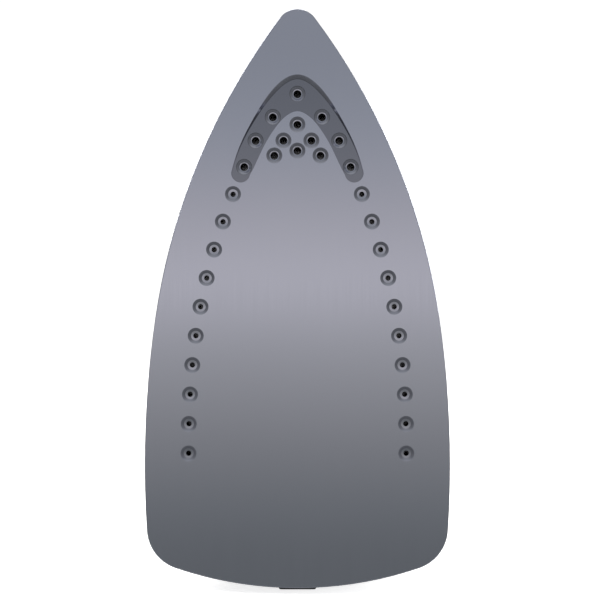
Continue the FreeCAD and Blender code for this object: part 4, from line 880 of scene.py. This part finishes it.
def card():
    low, high = card_height(-260), card_height(420)
    y = FACE * MM - SOLE_TO_CAMERA - CARD_BEHIND
    half = 1.25
    points = [(-half, y, low), (half, y, low), (half, y, high), (-half, y, high)]
    mesh = bpy.data.meshes.new("graded_card")
    mesh.from_pydata(points, [], [(0, 1, 2, 3)])
    thing = bpy.data.objects.new("graded_card", mesh)
    bpy.context.scene.collection.objects.link(thing)
    light = finish("card_light", Emission_Strength=1.0, Roughness=1.0, Specular_IOR_Level=0.0,
                   Base_Color=(0, 0, 0, 1))
    place = add_node(light, "SeparateXYZ")
    wire(light, own_metres(light), place.inputs[0])
    height = numbers(light, place.outputs["Z"], 0, 1, low, high)
    stops = [
        ((card_height(z) - low) / (high - low), tuple(level * c for c in tint))
        for z, level, tint in CARD_STOPS
    ]
    feed(light, shades(light, height, stops), "Emission Color")
    mesh.materials.append(light)
    for seen in ("visible_camera", "visible_diffuse", "visible_transmission", "visible_shadow"):
        setattr(thing, seen, False)
    print("card from", round(low, 3), "to", round(high, 3), "m high")


card()

# %% [markdown]
# ## Soft light
# Three soft boxes behind and above give the handle, tank and chrome long
# smooth highlights. Two in front of the sole light its surroundings, and are
# left out of reflections, because each vent's dimple would catch them as a
# hard spark. A broad fill from below stands for light thrown up by the sweep.
# The room itself is a grey that is darker below the horizon.

# %% Lights and room
def soft_box(name, place, aim, size, watts, mirrored=True):
    """A square area light that the camera never sees."""
    lamp = bpy.data.lights.new(name, "AREA")
    lamp.shape = "SQUARE"
    lamp.size = size
    lamp.energy = watts
    holder = bpy.data.objects.new(name, lamp)
    bpy.context.scene.collection.objects.link(holder)
    holder.location = place
    holder.rotation_euler = (Vector(aim) - Vector(place)).to_track_quat("-Z", "Y").to_euler()
    holder.visible_camera = False
    holder.visible_glossy = mirrored
    return holder


MIDDLE = (0, 0, 0.115)
soft_box("key_front_left", (-0.85, -0.95, 0.95), MIDDLE, 0.6, 12, mirrored=False)
soft_box("front_right", (1.05, -0.95, 0.45), MIDDLE, 0.5, 6, mirrored=False)
soft_box("back_right", (0.95, 0.85, 0.55), MIDDLE, 0.7, 9)
soft_box("back_left", (-0.8, 0.95, 0.75), MIDDLE, 0.7, 10)
soft_box("overhead", (0.0, 0.75, 1.35), MIDDLE, 0.8, 9)
soft_box("lift_from_below", (0, 0, -0.9), MIDDLE, 1.6, 9, mirrored=False)


def room():
    world = bpy.data.worlds.new("grey_room")
    world.use_nodes = True
    bpy.context.scene.world = world
    tree = world.node_tree
    place = tree.nodes.new("ShaderNodeTexCoord")
    part = tree.nodes.new("ShaderNodeSeparateXYZ")
    ramp = tree.nodes.new("ShaderNodeValToRGB")
    rise = tree.nodes.new("ShaderNodeMapRange")
    rise.inputs["From Min"].default_value = -1
    stops = [(0.0, 0.14), (0.46, 0.15), (0.52, 0.17), (0.75, 0.20), (1.0, 0.40)]
    while len(ramp.color_ramp.elements) < len(stops):
        ramp.color_ramp.elements.new(0.5)
    for element, (position, k) in zip(ramp.color_ramp.elements, stops):
        element.position = position
        element.color = (k * 0.98, k, k * 1.04, 1)
    tree.links.new(place.outputs["Generated"], part.inputs[0])
    tree.links.new(part.outputs["Z"], rise.inputs["Value"])
    tree.links.new(rise.outputs["Result"], ramp.inputs[0])
    tree.links.new(ramp.outputs[0], tree.nodes["Background"].inputs["Color"])
    print("room grey from", stops[0][1], "below to", stops[-1][1], "above")


room()

# %% [markdown]
# ## Camera and colour
# The camera looks straight at the ironing face with a long lens, so that the
# sole keeps its outline. The standard view keeps greys as they were set; a
# filmic one would wash the metal's gradient out.

# %% Camera
def camera():
    eye = bpy.data.cameras.new("camera")
    eye.lens = 80
    eye.sensor_width = 36
    holder = bpy.data.objects.new("camera", eye)
    bpy.context.scene.collection.objects.link(holder)
    holder.location = (CAMERA_ASIDE, FACE * MM - SOLE_TO_CAMERA, CAMERA_HEIGHT)
    holder.rotation_euler = (math.radians(90), 0, 0)
    bpy.context.scene.camera = holder
    bpy.context.scene.view_settings.view_transform = "Standard"
    width = SOLE_TO_CAMERA * eye.sensor_width / eye.lens
    print("the view is", round(1000 * width, 1), "mm wide at the sole")


camera()
